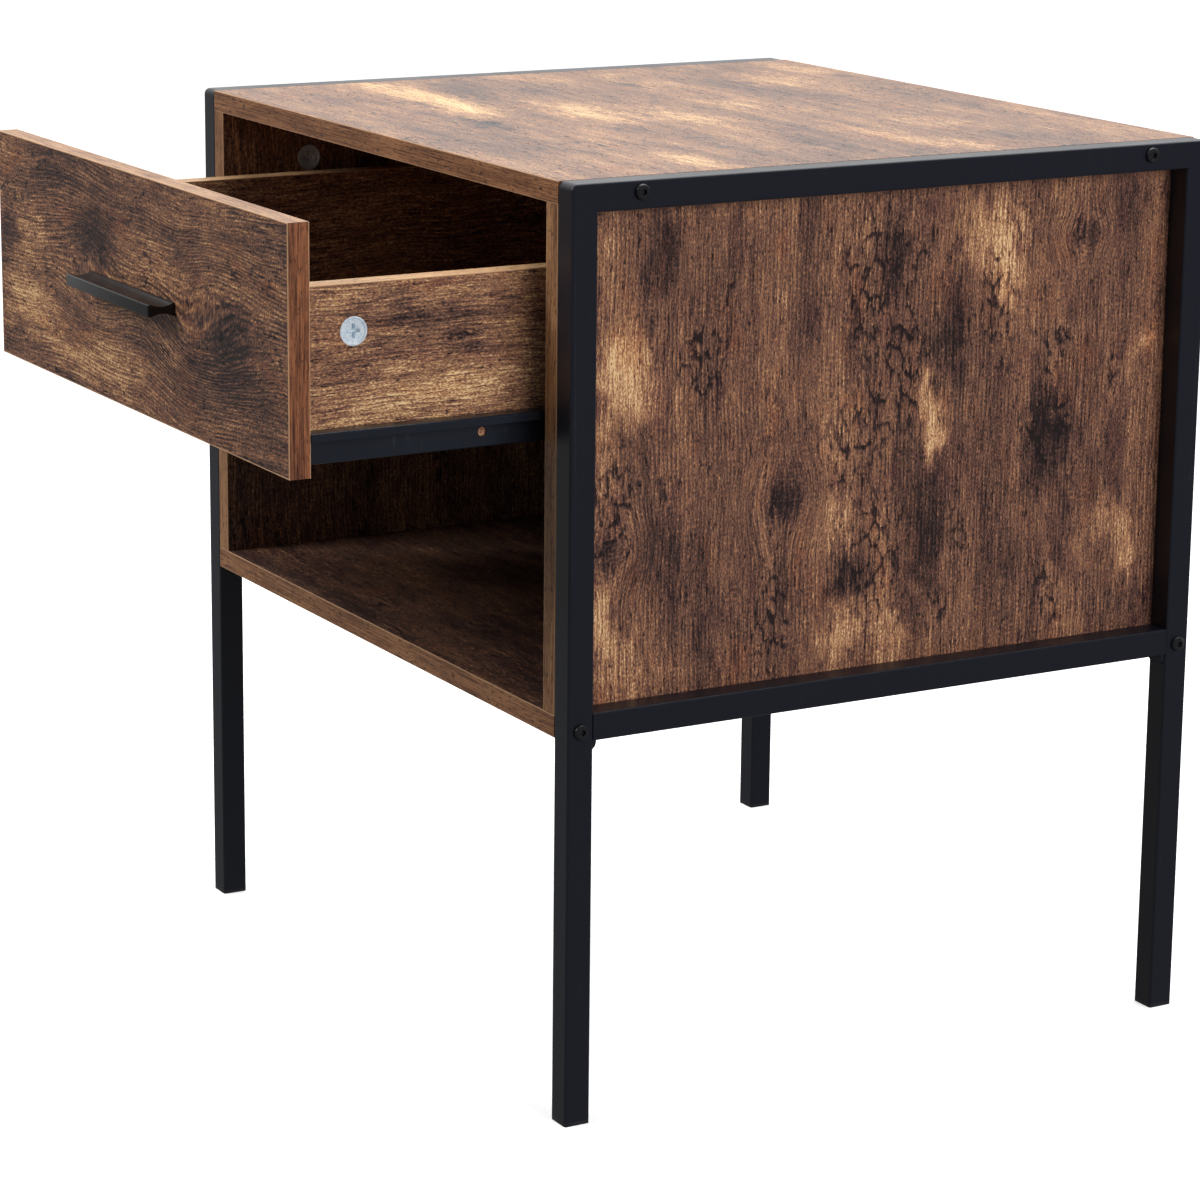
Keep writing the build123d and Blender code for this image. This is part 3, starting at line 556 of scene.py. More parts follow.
@dataclass(frozen=True)
class EdgeBand:
    """A printed edge band: lengthwise lines between two light lines at its edges, each partly a glue line and
    partly a painted highlight.
    """

    name: str
    run: BandRun
    middles_mm: tuple[float, ...]
    board_mm: float = 12.0
    base: Colour = srgb(108, 70, 48)
    light: Colour = srgb(164, 117, 80)
    dark: Colour = srgb(40, 26, 26)
    # Colour of the light edge lines: partly glue line, partly painted highlight
    rim: Colour = srgb(200, 158, 122)
    seed: float = 0.0

    def strips(
        self, g: Graph, across: Signal, along: Signal, layer: Signal | float, paces: Colour
    ) -> tuple[Signal, Signal, Signal, Signal]:
        """The noises of a band's print.

        Args:
            g: The material being made.
            across: Place across the band, in millimetres.
            along: Place along the band.
            layer: Which part of the noise is read.
            paces: Changes per millimetre along the band of the lines, the fine grain and the blotches.

        Returns:
            The lines, the fine grain, the blotches and the flecks.
        """
        lines = g.noise(g.combine(across * LINES_PER_MM, layer + 2.0, along * paces[0]), 3.0, 0.6, 0.2)
        fine = g.noise(g.combine(across * FINE_LINES_PER_MM, layer + 5.0, along * paces[1]), 2.0, 0.6)
        blotch = g.noise(g.combine(across * 0.1, layer, along * paces[2]), 3.0, 0.6)
        fleck = g.noise(g.combine(across * LINES_PER_MM, layer + 8.0, along * 0.2), 2.0, 0.6)
        return lines, fine, blotch, fleck

    def rimmed(
        self, g: Graph, off: Signal, print_colour: Signal, height: Signal, fine: Signal
    ) -> bpy.types.Material:
        """Ends a band's material with its light edge lines, partly glue lines and partly painted highlights.

        Args:
            g: The material being made.
            off: Distance from the band's middle, in millimetres.
            print_colour: Colour of the print.
            height: Height of the print.
            fine: The fine grain.

        Returns:
            The material.
        """
        # Mixes in the light edge lines: partly glue line, partly painted highlight on the edge
        edge = off.step(self.board_mm / 2 - RIM_STARTS_MM, self.board_mm / 2 - RIM_FULL_MM)
        return g.surface(
            Base_Color=g.mix(edge * 0.75, print_colour, self.rim),
            Roughness=0.5 + (fine - 0.5) * 0.2,
            Normal=g.bump(height, 0.45, 0.1),
            Specular_IOR_Level=0.25,
        )

    def material(self) -> bpy.types.Material:
        """Builds the band's material.

        Returns:
            The material.
        """
        g = Graph(self.name)
        axis = g.axes(g.millimetres())
        along, across = (axis[letter] for letter in self.run.value)
        lines, fine, blotch, specks = self.strips(g, across, along, self.seed, (0.022, 0.12, 0.016))
        fleck = specks.step(0.56, 0.64)
        dark_zone = g.noise(g.combine(0.0, self.seed + 3.0, along * 0.03), 2.0, 0.5)
        tone = (lines + (fine - 0.5) * 0.8 + (blotch - 0.5) * 0.7).step(0.3, 0.72)
        body = g.mix(tone, self.base, self.light)
        marked = g.mix(fleck * dark_zone.step(0.35, 0.55, 0.3, 1.0) * 0.95, body, self.dark)
        grooved = g.mix(lines.step(0.44, 0.3, 0.0, 0.65), marked, self.dark)
        off = (across - self.middles_mm[0]).absolute()
        for middle in self.middles_mm[1:]:
            off = off.least((across - middle).absolute())
        height = (lines - 0.5) * 0.6 + (fine - 0.5) * 0.4 - fleck * 0.5
        return self.rimmed(g, off, grooved, height, fine)


# ---- Metal, plastic and plain timber ----------------------------------------------------------


@dataclass(frozen=True)
class CoatedMetal:
    """Powder coat or paint over steel or aluminium, with fine texture and light wear."""

    name: str
    base: Colour
    worn: Colour
    roughness: float = 0.42
    texture_mm: float = 0.5
    texture_depth_mm: float = 0.012
    scuff: float = 0.25
    specular: float = 0.45

    def material(self) -> bpy.types.Material:
        """Builds the coat's material.

        Returns:
            The material.
        """
        g = Graph(self.name)
        place = g.millimetres()
        per_mm = 1 / self.texture_mm
        peel = g.noise(g.scaled(place, (per_mm,) * 3), 2.0, 0.55)
        cloud = g.noise(g.scaled(place, (0.02, 0.02, 0.012)), 3.0, 0.6)
        rub = g.noise(g.scaled(place, (0.25, 0.25, 0.06)), 4.0, 0.7, 0.3)
        marks = rub.step(0.6, 0.78) * self.scuff
        colour = g.mix(marks + (cloud - 0.5) * 0.1, self.base, self.worn)
        return g.surface(
            Base_Color=colour,
            Roughness=self.roughness + (cloud - 0.5) * 0.16 + (peel - 0.5) * 0.1 + marks * 0.2,
            Normal=g.bump(peel, 0.5, self.texture_depth_mm * 2),
            Specular_IOR_Level=self.specular,
        )


@dataclass(frozen=True)
class PlatedZinc:
    """Bright zinc plate with fine turning marks and dull bloom."""

    name: str = "bright_zinc"
    base: Colour = srgb(232, 242, 250)
    dull: Colour = srgb(196, 212, 226)

    def material(self) -> bpy.types.Material:
        """Builds the plate's material.

        Returns:
            The material.
        """
        g = Graph(self.name)
        place = g.millimetres()
        bloom = g.noise(g.scaled(place, (0.5, 0.5, 0.5)), 4.0, 0.65)
        grain = g.noise(g.scaled(place, (3.0, 3.0, 3.0)), 2.0, 0.6)
        return g.surface(
            Base_Color=g.mix(bloom.step(0.35, 0.7), self.base, self.dull),
            Metallic=0.3,
            Roughness=0.3 + bloom * 0.2,
            Normal=g.bump(grain + bloom, 0.4, 0.05),
        )


@dataclass(frozen=True)
class MouldedPlastic:
    """Moulded plastic with a fine spark texture and slight clouding."""

    name: str
    base: Colour
    shade: Colour
    roughness: float = 0.45

    def material(self) -> bpy.types.Material:
        """Builds the plastic's material.

        Returns:
            The material.
        """
        g = Graph(self.name)
        place = g.millimetres()
        spark = g.noise(g.scaled(place, (2.4, 2.4, 2.4)), 2.0, 0.6)
        cloud = g.noise(g.scaled(place, (0.12, 0.12, 0.12)), 3.0, 0.6)
        return g.surface(
            Base_Color=g.mix(cloud.step(0.3, 0.7), self.base, self.shade),
            Roughness=self.roughness + (spark - 0.5) * 0.2,
            Normal=g.bump(spark, 0.4, 0.03),
        )


@dataclass(frozen=True)
class PlainTimber:
    """Plain beech with short rays."""

    name: str = "beech"
    base: Colour = srgb(205, 166, 118)
    ray: Colour = srgb(164, 118, 74)

    def material(self) -> bpy.types.Material:
        """Builds the timber's material.

        Returns:
            The material.
        """
        g = Graph(self.name)
        place = g.millimetres()
        grain = g.noise(g.scaled(place, (1.4, 1.4, 0.12)), 3.0, 0.6)
        rays = g.noise(g.scaled(place, (2.2, 2.2, 0.7)), 1.0, 0.5).step(0.58, 0.7)
        return g.surface(
            Base_Color=g.mix(rays * 0.7, g.mix(grain, self.base, srgb(188, 146, 98)), self.ray),
            Roughness=0.6 + (grain - 0.5) * 0.1,
            Normal=g.bump(grain, 0.4, 0.05),
        )


# ---- Pieces made here -------------------------------------------------------------------------


class Bench:
    """Small steps shared by every piece that is modelled here."""

    @staticmethod
    def clear() -> None:
        """Deselects every object."""
        bpy.ops.object.select_all(action="DESELECT")

    @staticmethod
    def pick(piece: bpy.types.Object) -> None:
        """Selects one object alone and makes it active."""
        Bench.clear()
        piece.select_set(True)
        bpy.context.view_layer.objects.active = piece

    @staticmethod
    def choose(piece: bpy.types.Object, kind: str, wanted: Callable[[Vector, Vector], bool]) -> None:
        """Enters edit mode with only the wanted faces, edges or points selected.

        Args:
            piece: The object.
            kind: "FACE", "EDGE" or "VERT".
            wanted: Called with a face's middle and normal, an edge's two ends, or a point twice.
        """
        Bench.pick(piece)
        bpy.ops.object.mode_set(mode="EDIT")
        bpy.ops.mesh.select_mode(type=kind)
        bpy.ops.mesh.select_all(action="DESELECT")
        bpy.ops.object.mode_set(mode="OBJECT")
        mesh = piece.data
        if kind == "FACE":
            for face in mesh.polygons:
                face.select = wanted(face.center, face.normal)
        elif kind == "EDGE":
            for edge in mesh.edges:
                ends = [mesh.vertices[i].co for i in edge.vertices]
                edge.select = wanted(ends[0], ends[1])
        else:
            for point in mesh.vertices:
                point.select = wanted(point.co, point.co)
        bpy.ops.object.mode_set(mode="EDIT")

    @staticmethod
    def close() -> None:
        """Leaves edit mode."""
        bpy.ops.object.mode_set(mode="OBJECT")

    @staticmethod
    def settle(piece: bpy.types.Object) -> None:
        """Moves an object's place, turn and size into its mesh."""
        Bench.pick(piece)
        bpy.ops.object.transform_apply(location=True, rotation=True, scale=True)

    @staticmethod
    def cut(piece: bpy.types.Object, cutter: bpy.types.Object) -> None:
        """Cuts one object out of another and throws the cutter away."""
        Bench.settle(cutter)
        Bench.pick(piece)
        modifier = piece.modifiers.new("cut", "BOOLEAN")
        modifier.operation, modifier.solver, modifier.object = "DIFFERENCE", "EXACT", cutter
        bpy.ops.object.modifier_apply(modifier=modifier.name)
        bpy.data.objects.remove(cutter)

    @staticmethod
    def soften(piece: bpy.types.Object, width_mm: float, segments: int, angle: float = 35.0) -> None:
        """Rounds an object's sharp edges and shades it smooth between them."""
        Bench.pick(piece)
        modifier = piece.modifiers.new("soft_edges", "BEVEL")
        modifier.width, modifier.segments = width_mm * MM, segments
        modifier.limit_method, modifier.angle_limit = "ANGLE", math.radians(angle)
        bpy.ops.object.modifier_apply(modifier=modifier.name)
        bpy.ops.object.shade_smooth_by_angle(angle=math.radians(40.0))

    @staticmethod
    def soft_copy(node: bpy.types.Object, name: str, width_mm: float) -> bpy.types.Object:
        """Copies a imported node, merges its points and rounds its sharp edges.

        Args:
            node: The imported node.
            name: Name of the new piece.
            width_mm: Width of the rounded edges.

        Returns:
            The new piece.
        """
        twin = bpy.data.objects.new(name, node.data.copy())
        twin.data.transform(node.matrix_world)
        bpy.context.scene.collection.objects.link(twin)
        Bench.choose(twin, "FACE", lambda middle, normal: True)
        bpy.ops.mesh.remove_doubles(threshold=0.002 * MM)
        bpy.ops.mesh.dissolve_limited(angle_limit=math.radians(1.0))
        Bench.close()
        Bench.soften(twin, width_mm, 2)
        return twin

    @staticmethod
    def copies(model: bpy.types.Object, places: list[Matrix], name: str) -> bpy.types.Object:
        """Sets a copy of a model at each place and joins them.

        Args:
            model: The piece, modelled at the origin; it is used up.
            places: Where each copy goes.
            name: Name of the joined piece.

        Returns:
            The joined piece.
        """
        made = []
        for place in places:
            twin = bpy.data.objects.new(name, model.data.copy())
            twin.data.transform(place)
            if place.determinant() < 0:
                twin.data.flip_normals()
            bpy.context.scene.collection.objects.link(twin)
            made.append(twin)
        bpy.data.objects.remove(model)
        Bench.clear()
        for twin in made:
            twin.select_set(True)
        bpy.context.view_layer.objects.active = made[0]
        bpy.ops.object.join()
        made[0].name = name
        return made[0]

    @staticmethod
    def hand_over(
        piece: bpy.types.Object, body: str, node: str, slot: str, material: bpy.types.Material
    ) -> None:
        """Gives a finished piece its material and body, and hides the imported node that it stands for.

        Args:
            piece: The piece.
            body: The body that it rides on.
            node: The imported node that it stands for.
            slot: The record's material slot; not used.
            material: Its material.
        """
        piece.data.materials.clear()
        piece.data.materials.append(material)
        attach(piece, body)
        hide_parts(node)
        log.info("%s stands for %s", piece.name, node)


@dataclass
class CamLock:
    """A die-cast cam lock: raised rim, dished face, cross recess and the pocket for its bolt."""

    radius_mm: float = 7.5
    depth_mm: float = 9.5
    rim_mm: float = 0.9
    dish_mm: float = 0.45
    arm_mm: float = 8.8
    slot_mm: float = 2.2
    recess_mm: float = 2.7
    pocket_mm: float = 3.5
    pocket_deep_mm: float = 6.0
    arm_taper: float = 0.72
    edge_mm: float = 0.12

    def model(self) -> bpy.types.Object:
        """Models the lock at the origin, its face up and its bolt along +X.

        Returns:
            The lock.
        """
        Bench.clear()
        bpy.ops.mesh.primitive_cylinder_add(
            vertices=56,
            radius=self.radius_mm * MM,
            depth=self.depth_mm * MM,
            location=(0, 0, -self.depth_mm / 2 * MM),
        )
        lock = bpy.context.object
        Bench.settle(lock)
        Bench.choose(lock, "FACE", lambda middle, normal: normal.z > 0.9)
        bpy.ops.mesh.inset(thickness=self.rim_mm * MM)
        bpy.ops.mesh.inset(thickness=self.dish_mm * MM)
        bpy.ops.transform.translate(value=(0, 0, -self.dish_mm * MM))
        Bench.close()
        for turn in (0.0, math.pi / 2):
            floor = (0, 0, -self.dish_mm * MM)
            bpy.ops.mesh.primitive_cube_add(size=1, location=floor, rotation=(0, 0, turn))
            arm = bpy.context.object
            arm.scale = (self.arm_mm * MM, self.slot_mm * MM, 2 * self.recess_mm * MM)
            Bench.settle(arm)
            Bench.choose(arm, "FACE", lambda middle, normal: normal.z < -0.9)
            bpy.ops.transform.resize(value=(self.arm_taper, self.arm_taper, 1.0))
            Bench.close()
            Bench.cut(lock, arm)
        bpy.ops.mesh.primitive_cylinder_add(
            vertices=24,
            radius=self.pocket_mm * MM,
            depth=self.radius_mm * MM,
            location=(self.radius_mm * MM * 0.75, 0, -self.pocket_deep_mm * MM),
            rotation=(0, math.pi / 2, 0),
        )
        Bench.cut(lock, bpy.context.object)
        Bench.soften(lock, self.edge_mm, 2)
        return lock

    @staticmethod
    def place(face: Vector, outward: Vector, to_bolt: Vector) -> Matrix:
        """Where a lock goes: its face's middle, the way it faces and the way to its bolt."""
        side = outward.cross(to_bolt)
        turn = Matrix((to_bolt, side, outward)).transposed().to_4x4()
        turn.translation = face
        return turn


@dataclass
class WeldBead:
    """A rippled bead of weld in the corner under a lower rail."""

    length_mm: float = 12.4
    reach_mm: float = 3.3
    drop_mm: float = 5.8
    ripples: int = 7
    rings: int = 28
    ripple_share: float = 0.1

    def model(self) -> bpy.types.Object:
        """Models a bead along X whose corner lies at the origin, reaching towards +Y and down.

        Returns:
            The bead.
        """
        Bench.clear()
        bpy.ops.mesh.primitive_cylinder_add(
            vertices=24, radius=1.0, depth=self.length_mm * MM, rotation=(0, math.pi / 2, 0)
        )
        bead = bpy.context.object
        Bench.settle(bead)
        bead.scale = (1.0, self.reach_mm * MM, self.drop_mm * MM)
        Bench.settle(bead)
        Bench.choose(bead, "EDGE", lambda a, b: abs(a.x - b.x) > 0.5 * self.length_mm * MM)
        bpy.ops.mesh.subdivide(number_cuts=self.rings - 1)
        Bench.close()
        for ring in range(self.rings + 1):
            share = ring / self.rings
            x = (share - 0.5) * self.length_mm * MM
            swell = 1 - self.ripple_share * abs(math.sin(math.pi * self.ripples * share))
            swell *= 0.75 + 0.25 * min(1.0, 8 * share, 8 * (1 - share))
            Bench.choose(bead, "VERT", lambda a, b, x=x: abs(a.x - x) < 0.02 * MM)
            bpy.ops.transform.resize(value=(1.0, swell, swell), center_override=(x, 0, 0))
            Bench.close()
        for normal in ((0, -1, 0), (0, 0, 1)):
            Bench.choose(bead, "FACE", lambda a, b: True)
            bpy.ops.mesh.bisect(plane_co=(0, 0, 0), plane_no=normal, clear_outer=True, use_fill=True)
            Bench.close()
        Bench.pick(bead)
        bpy.ops.object.shade_smooth_by_angle(angle=math.radians(50.0))
        return bead


@dataclass
class GlideFoot:
    """The plastic foot in a leg's end: eased rim, hollowed sole and spigot."""

    width_mm: float = 15.0
    rim_mm: float = 2.0
    corner_mm: float = 1.3
    sole_mm: float = 2.2
    hollow_mm: float = 0.7
    spigot_mm: float = 12.6
    spigot_high_mm: float = 12.0

    def model(self) -> bpy.types.Object:
        """Models the foot, standing on the origin.

        Returns:
            The foot.
        """
        Bench.clear()
        bpy.ops.mesh.primitive_cube_add(size=1, location=(0, 0, self.rim_mm / 2 * MM))
        foot = bpy.context.object
        foot.scale = (self.width_mm * MM, self.width_mm * MM, self.rim_mm * MM)
        Bench.settle(foot)
        Bench.choose(foot, "EDGE", lambda a, b: abs(a.z - b.z) > 0.5 * MM)
        bpy.ops.mesh.bevel(offset=self.corner_mm * MM, segments=4)
        Bench.close()
        Bench.choose(foot, "FACE", lambda middle, normal: normal.z < -0.9)
        bpy.ops.mesh.inset(thickness=self.sole_mm * MM)
        bpy.ops.mesh.extrude_region_move(TRANSFORM_OT_translate={"value": (0, 0, self.hollow_mm * MM)})
        Bench.close()
        rim_top = self.rim_mm * MM * 0.9
        Bench.choose(foot, "FACE", lambda middle, normal: normal.z > 0.9 and middle.z > rim_top)
        bpy.ops.mesh.inset(thickness=(self.width_mm - self.spigot_mm) / 2 * MM)
        bpy.ops.mesh.extrude_region_move(TRANSFORM_OT_translate={"value": (0, 0, self.spigot_high_mm * MM)})
        Bench.close()
        Bench.soften(foot, 0.2, 2, 50.0)
        return foot


# ---- The sub-assemblies -----------------------------------------------------------------------


def dress(nodes: dict[str, bpy.types.Object], names: list[str], material: bpy.types.Material) -> None:
    """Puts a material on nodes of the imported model.

    Args:
        nodes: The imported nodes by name.
        names: Which of them.
        material: What they get.
    """
    for name in names:
        for place in nodes[name].material_slots:
            place.material = material
        log.info("%s wears %s", name, material.name)


def both(*names: str) -> list[str]:
    """The left and right node of each name."""
    return [f"{side}_{name}" for name in names for side in ("left", "right")]


@dataclass
class SideFrames:
    """The two welded tube frames with their glides and screws."""

    coat: CoatedMetal = CoatedMetal(
        "black_powder_coat", srgb(21, 23, 32), srgb(50, 50, 52), roughness=0.4, texture_mm=0.55, specular=0.4
    )
    oxide: CoatedMetal = CoatedMetal(
        "black_oxide", srgb(24, 24, 27), srgb(52, 52, 54), roughness=0.32, texture_mm=0.3, scuff=0.4
    )
    plastic: MouldedPlastic = MouldedPlastic("glide_plastic", srgb(22, 23, 27), srgb(34, 35, 40))
    bead: WeldBead = field(default_factory=WeldBead)
    foot: GlideFoot = field(default_factory=GlideFoot)

    def build(self, nodes: dict[str, bpy.types.Object]) -> None:
        """Dresses the frames' nodes."""
        coat = self.coat.material()
        dress(nodes, both("front_leg", "rear_leg", "top_rail", "lower_rail"), coat)
        dress(nodes, ["frame_screws"], self.oxide.material())
        self.add_beads(coat)
        self.add_feet(self.plastic.material())

    def add_beads(self, coat: bpy.types.Material) -> None:
        """Puts a bead of weld under each end of the lower rails.

        Args:
            coat: The frame's coat.
        """
        low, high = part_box("right_lower_rail")
        middle = (low[0] + high[0]) / 2
        places = []
        for side in (-1, 1):
            for y, way in ((low[1], 1), (high[1], -1)):
                spot = Matrix.Diagonal((1, way, 1, 1))
                spot.translation = (side * middle, y, low[2])
                places.append(spot)
        beads = Bench.copies(self.bead.model(), places, "corner_weld_beads")
        Bench.hand_over(beads, "cabinet", "weld_beads", "frame_black", coat)

    def add_feet(self, plastic: bpy.types.Material) -> None:
        """Puts a foot in each leg's end.

        Args:
            plastic: The feet's material.
        """
        places = []
        for name in both("front_leg", "rear_leg"):
            low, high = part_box(name)
            outer = high[0] if high[0] > 0 else low[0]
            half = self.foot.width_mm / 2 * MM
            x = outer - math.copysign(half, outer)
            y = low[1] + half if "front" in name else high[1] - half
            places.append(Matrix.Translation((x, y, 0.0)))
        feet = Bench.copies(self.foot.model(), places, "plastic_feet")
        Bench.hand_over(feet, "cabinet", "leg_glides", "black_plastic", plastic)


@dataclass
class Cabinet:
    """The laminated boards of the cabinet and their bands."""

    top: RusticBoard = RusticBoard(
        "rustic_top",
        Grain.FLAT,
        patches=(
            Patch(-30, -180, 26, 50, 0.28), Patch(-22, -110, 24, 60, 0.26), Patch(-30, -52, 20, 55, 0.26),
            Patch(25, -28, 24, 70, 0.3), Patch(75, 15, 24, 60, 0.22), Patch(130, -15, 26, 60, 0.24),
            Patch(210, -115, 26, 60, 0.26), Patch(255, -150, 20, 50, 0.2), Patch(-20, 175, 18, 45, 0.22),
            Patch(130, 135, 22, 55, 0.22), Patch(150, 196, 20, 40, 0.2), Patch(183, 90, 20, 45, 0.2),
            Patch(265, 66, 14, 50, 0.16), Patch(12, -120, 18, 70, -0.2), Patch(16, -160, 14, 40, -0.16),
            Patch(-76, 32, 24, 70, -0.16), Patch(-100, 130, 20, 70, -0.14), Patch(-46, -5, 12, 34, -0.24),
            Patch(10, 40, 14, 50, -0.2), Patch(78, 148, 18, 60, -0.22), Patch(180, -90, 24, 70, -0.24),
            Patch(200, 40, 18, 80, -0.18), Patch(195, 170, 18, 50, -0.2), Patch(240, 0, 16, 60, -0.14),
        ),
        knots=(Knot(117, -130, 7, 14, 0.3), Knot(262, -120, 6, 12, 0.3), Knot(-44, -6, 6, 14, 0.3)),
        seed=1.0,
        tone=0.52,
        wave_mm=4.0,
        shine=0.6,
        tint=(1.0, 0.98, 0.86),
    )
    bottom: RusticBoard = RusticBoard("rustic_bottom", Grain.FLAT, seed=2.3, tone=0.37, wave_mm=5.0)
    right: RusticBoard = RusticBoard(
        "rustic_right_side",
        Grain.UPRIGHT_SIDE,
        patches=(
            Patch(-84, 400, 17, 30, 0.34), Patch(-68, 388, 18, 22, 0.2), Patch(-94, 468, 9, 26, 0.2),
            Patch(-92, 345, 14, 26, 0.16), Patch(-95, 268, 10, 26, 0.3), Patch(-82, 243, 20, 24, 0.22),
            Patch(-50, 245, 16, 24, 0.14), Patch(-10, 352, 14, 34, 0.12), Patch(50, 350, 20, 26, 0.12),
            Patch(52, 300, 14, 22, 0.2), Patch(54, 242, 18, 24, 0.3), Patch(84, 238, 12, 30, 0.24),
            Patch(56, 462, 16, 26, 0.14), Patch(96, 462, 10, 40, 0.16), Patch(138, 458, 26, 34, 0.26),
            Patch(158, 440, 20, 34, 0.2), Patch(190, 470, 8, 20, 0.2), Patch(104, 375, 6, 26, 0.34),
            Patch(112, 350, 7, 16, 0.4), Patch(249, 384, 12, 12, 0.26), Patch(228, 288, 16, 22, 0.26),
            Patch(244, 262, 12, 24, 0.26), Patch(205, 400, 24, 34, 0.1), Patch(-60, 452, 16, 26, -0.24),
            Patch(-56, 474, 12, 14, -0.14), Patch(-14, 450, 22, 30, -0.12), Patch(-60, 300, 26, 30, -0.2),
            Patch(-30, 250, 22, 36, -0.16), Patch(-20, 410, 30, 40, -0.06), Patch(60, 404, 8, 36, -0.2),
            Patch(82, 446, 12, 30, -0.26), Patch(118, 398, 14, 28, -0.34), Patch(122, 434, 8, 18, -0.2),
            Patch(20, 270, 14, 24, -0.22), Patch(56, 274, 16, 16, -0.3), Patch(106, 310, 20, 40, -0.24),
            Patch(110, 284, 8, 24, -0.16), Patch(96, 254, 12, 24, -0.2), Patch(180, 345, 24, 30, -0.24),
            Patch(188, 358, 8, 16, -0.18), Patch(160, 280, 26, 40, -0.18), Patch(199, 284, 6, 26, -0.24),
            Patch(240, 466, 18, 14, -0.2), Patch(208, 330, 30, 30, -0.16), Patch(250, 236, 20, 16, -0.14),
        ),
        knots=(
            Knot(16, 322, 14, 15, 0.34),
            Knot(-90, 305, 14, 12, 0.28),
            Knot(208, 451, 13, 8, 0.26),
            Knot(-73, 339, 4, 3, 0.2),
            Knot(-66, 418, 3, 10, 0.2),
        ),
        worn=(
            Patch(70, 440, 22, 40, 1.0), Patch(88, 385, 22, 40, 1.0), Patch(60, 345, 18, 30, 1.0),
            Patch(72, 285, 20, 40, 1.0), Patch(10, 260, 14, 26, 0.6), Patch(-86, 330, 10, 30, 0.6),
            Patch(150, 420, 12, 30, 0.6),
        ),
        seed=3.0,
        tone=0.44,
        mottle=0.34,
        wave_mm=3.0,
        tint=(1.0, 0.96, 0.96),
    )
    left: RusticBoard = RusticBoard(
        "rustic_left_side", Grain.UPRIGHT_SIDE, seed=4.7, tone=0.5, wave_mm=6.0, mottle=0.5
    )
    # The back sheet's tint of 0.8 darkens it as painted shade of the cabinet's dark inside
    back: RusticBoard = RusticBoard(
        "printed_back_sheet", Grain.UPRIGHT_BACK, seed=6.1, tone=0.36, mottle=0.4, tint=(0.8, 0.78, 0.78)
    )

    def build(self, nodes: dict[str, bpy.types.Object]) -> None:
        """Dresses the cabinet's nodes."""
        dress(nodes, ["top_panel"], self.top.material())
        dress(nodes, ["bottom_panel"], self.bottom.material())
        dress(nodes, ["right_side_panel"], self.right.material())
        dress(nodes, ["left_side_panel"], self.left.material())
        dress(nodes, ["back_panel"], self.back.material())
        for name, run in (("top_panel_bands", BandRun.LEVEL), ("bottom_panel_bands", BandRun.LEVEL)):
            low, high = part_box(name)
            middle = (low[2] + high[2]) / 2 / MM
            dress(nodes, [name], EdgeBand(f"{name}_print", run, (middle,), seed=middle).material())
        low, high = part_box("right_side_panel")
        middle = (low[0] + high[0]) / 2 / MM
        upright = EdgeBand(
            "side_band_print",
            BandRun.UPRIGHT,
            (-middle, middle),
            base=srgb(118, 80, 54),
            light=srgb(172, 128, 88),
        )
        dress(nodes, ["side_panel_bands"], upright.material())


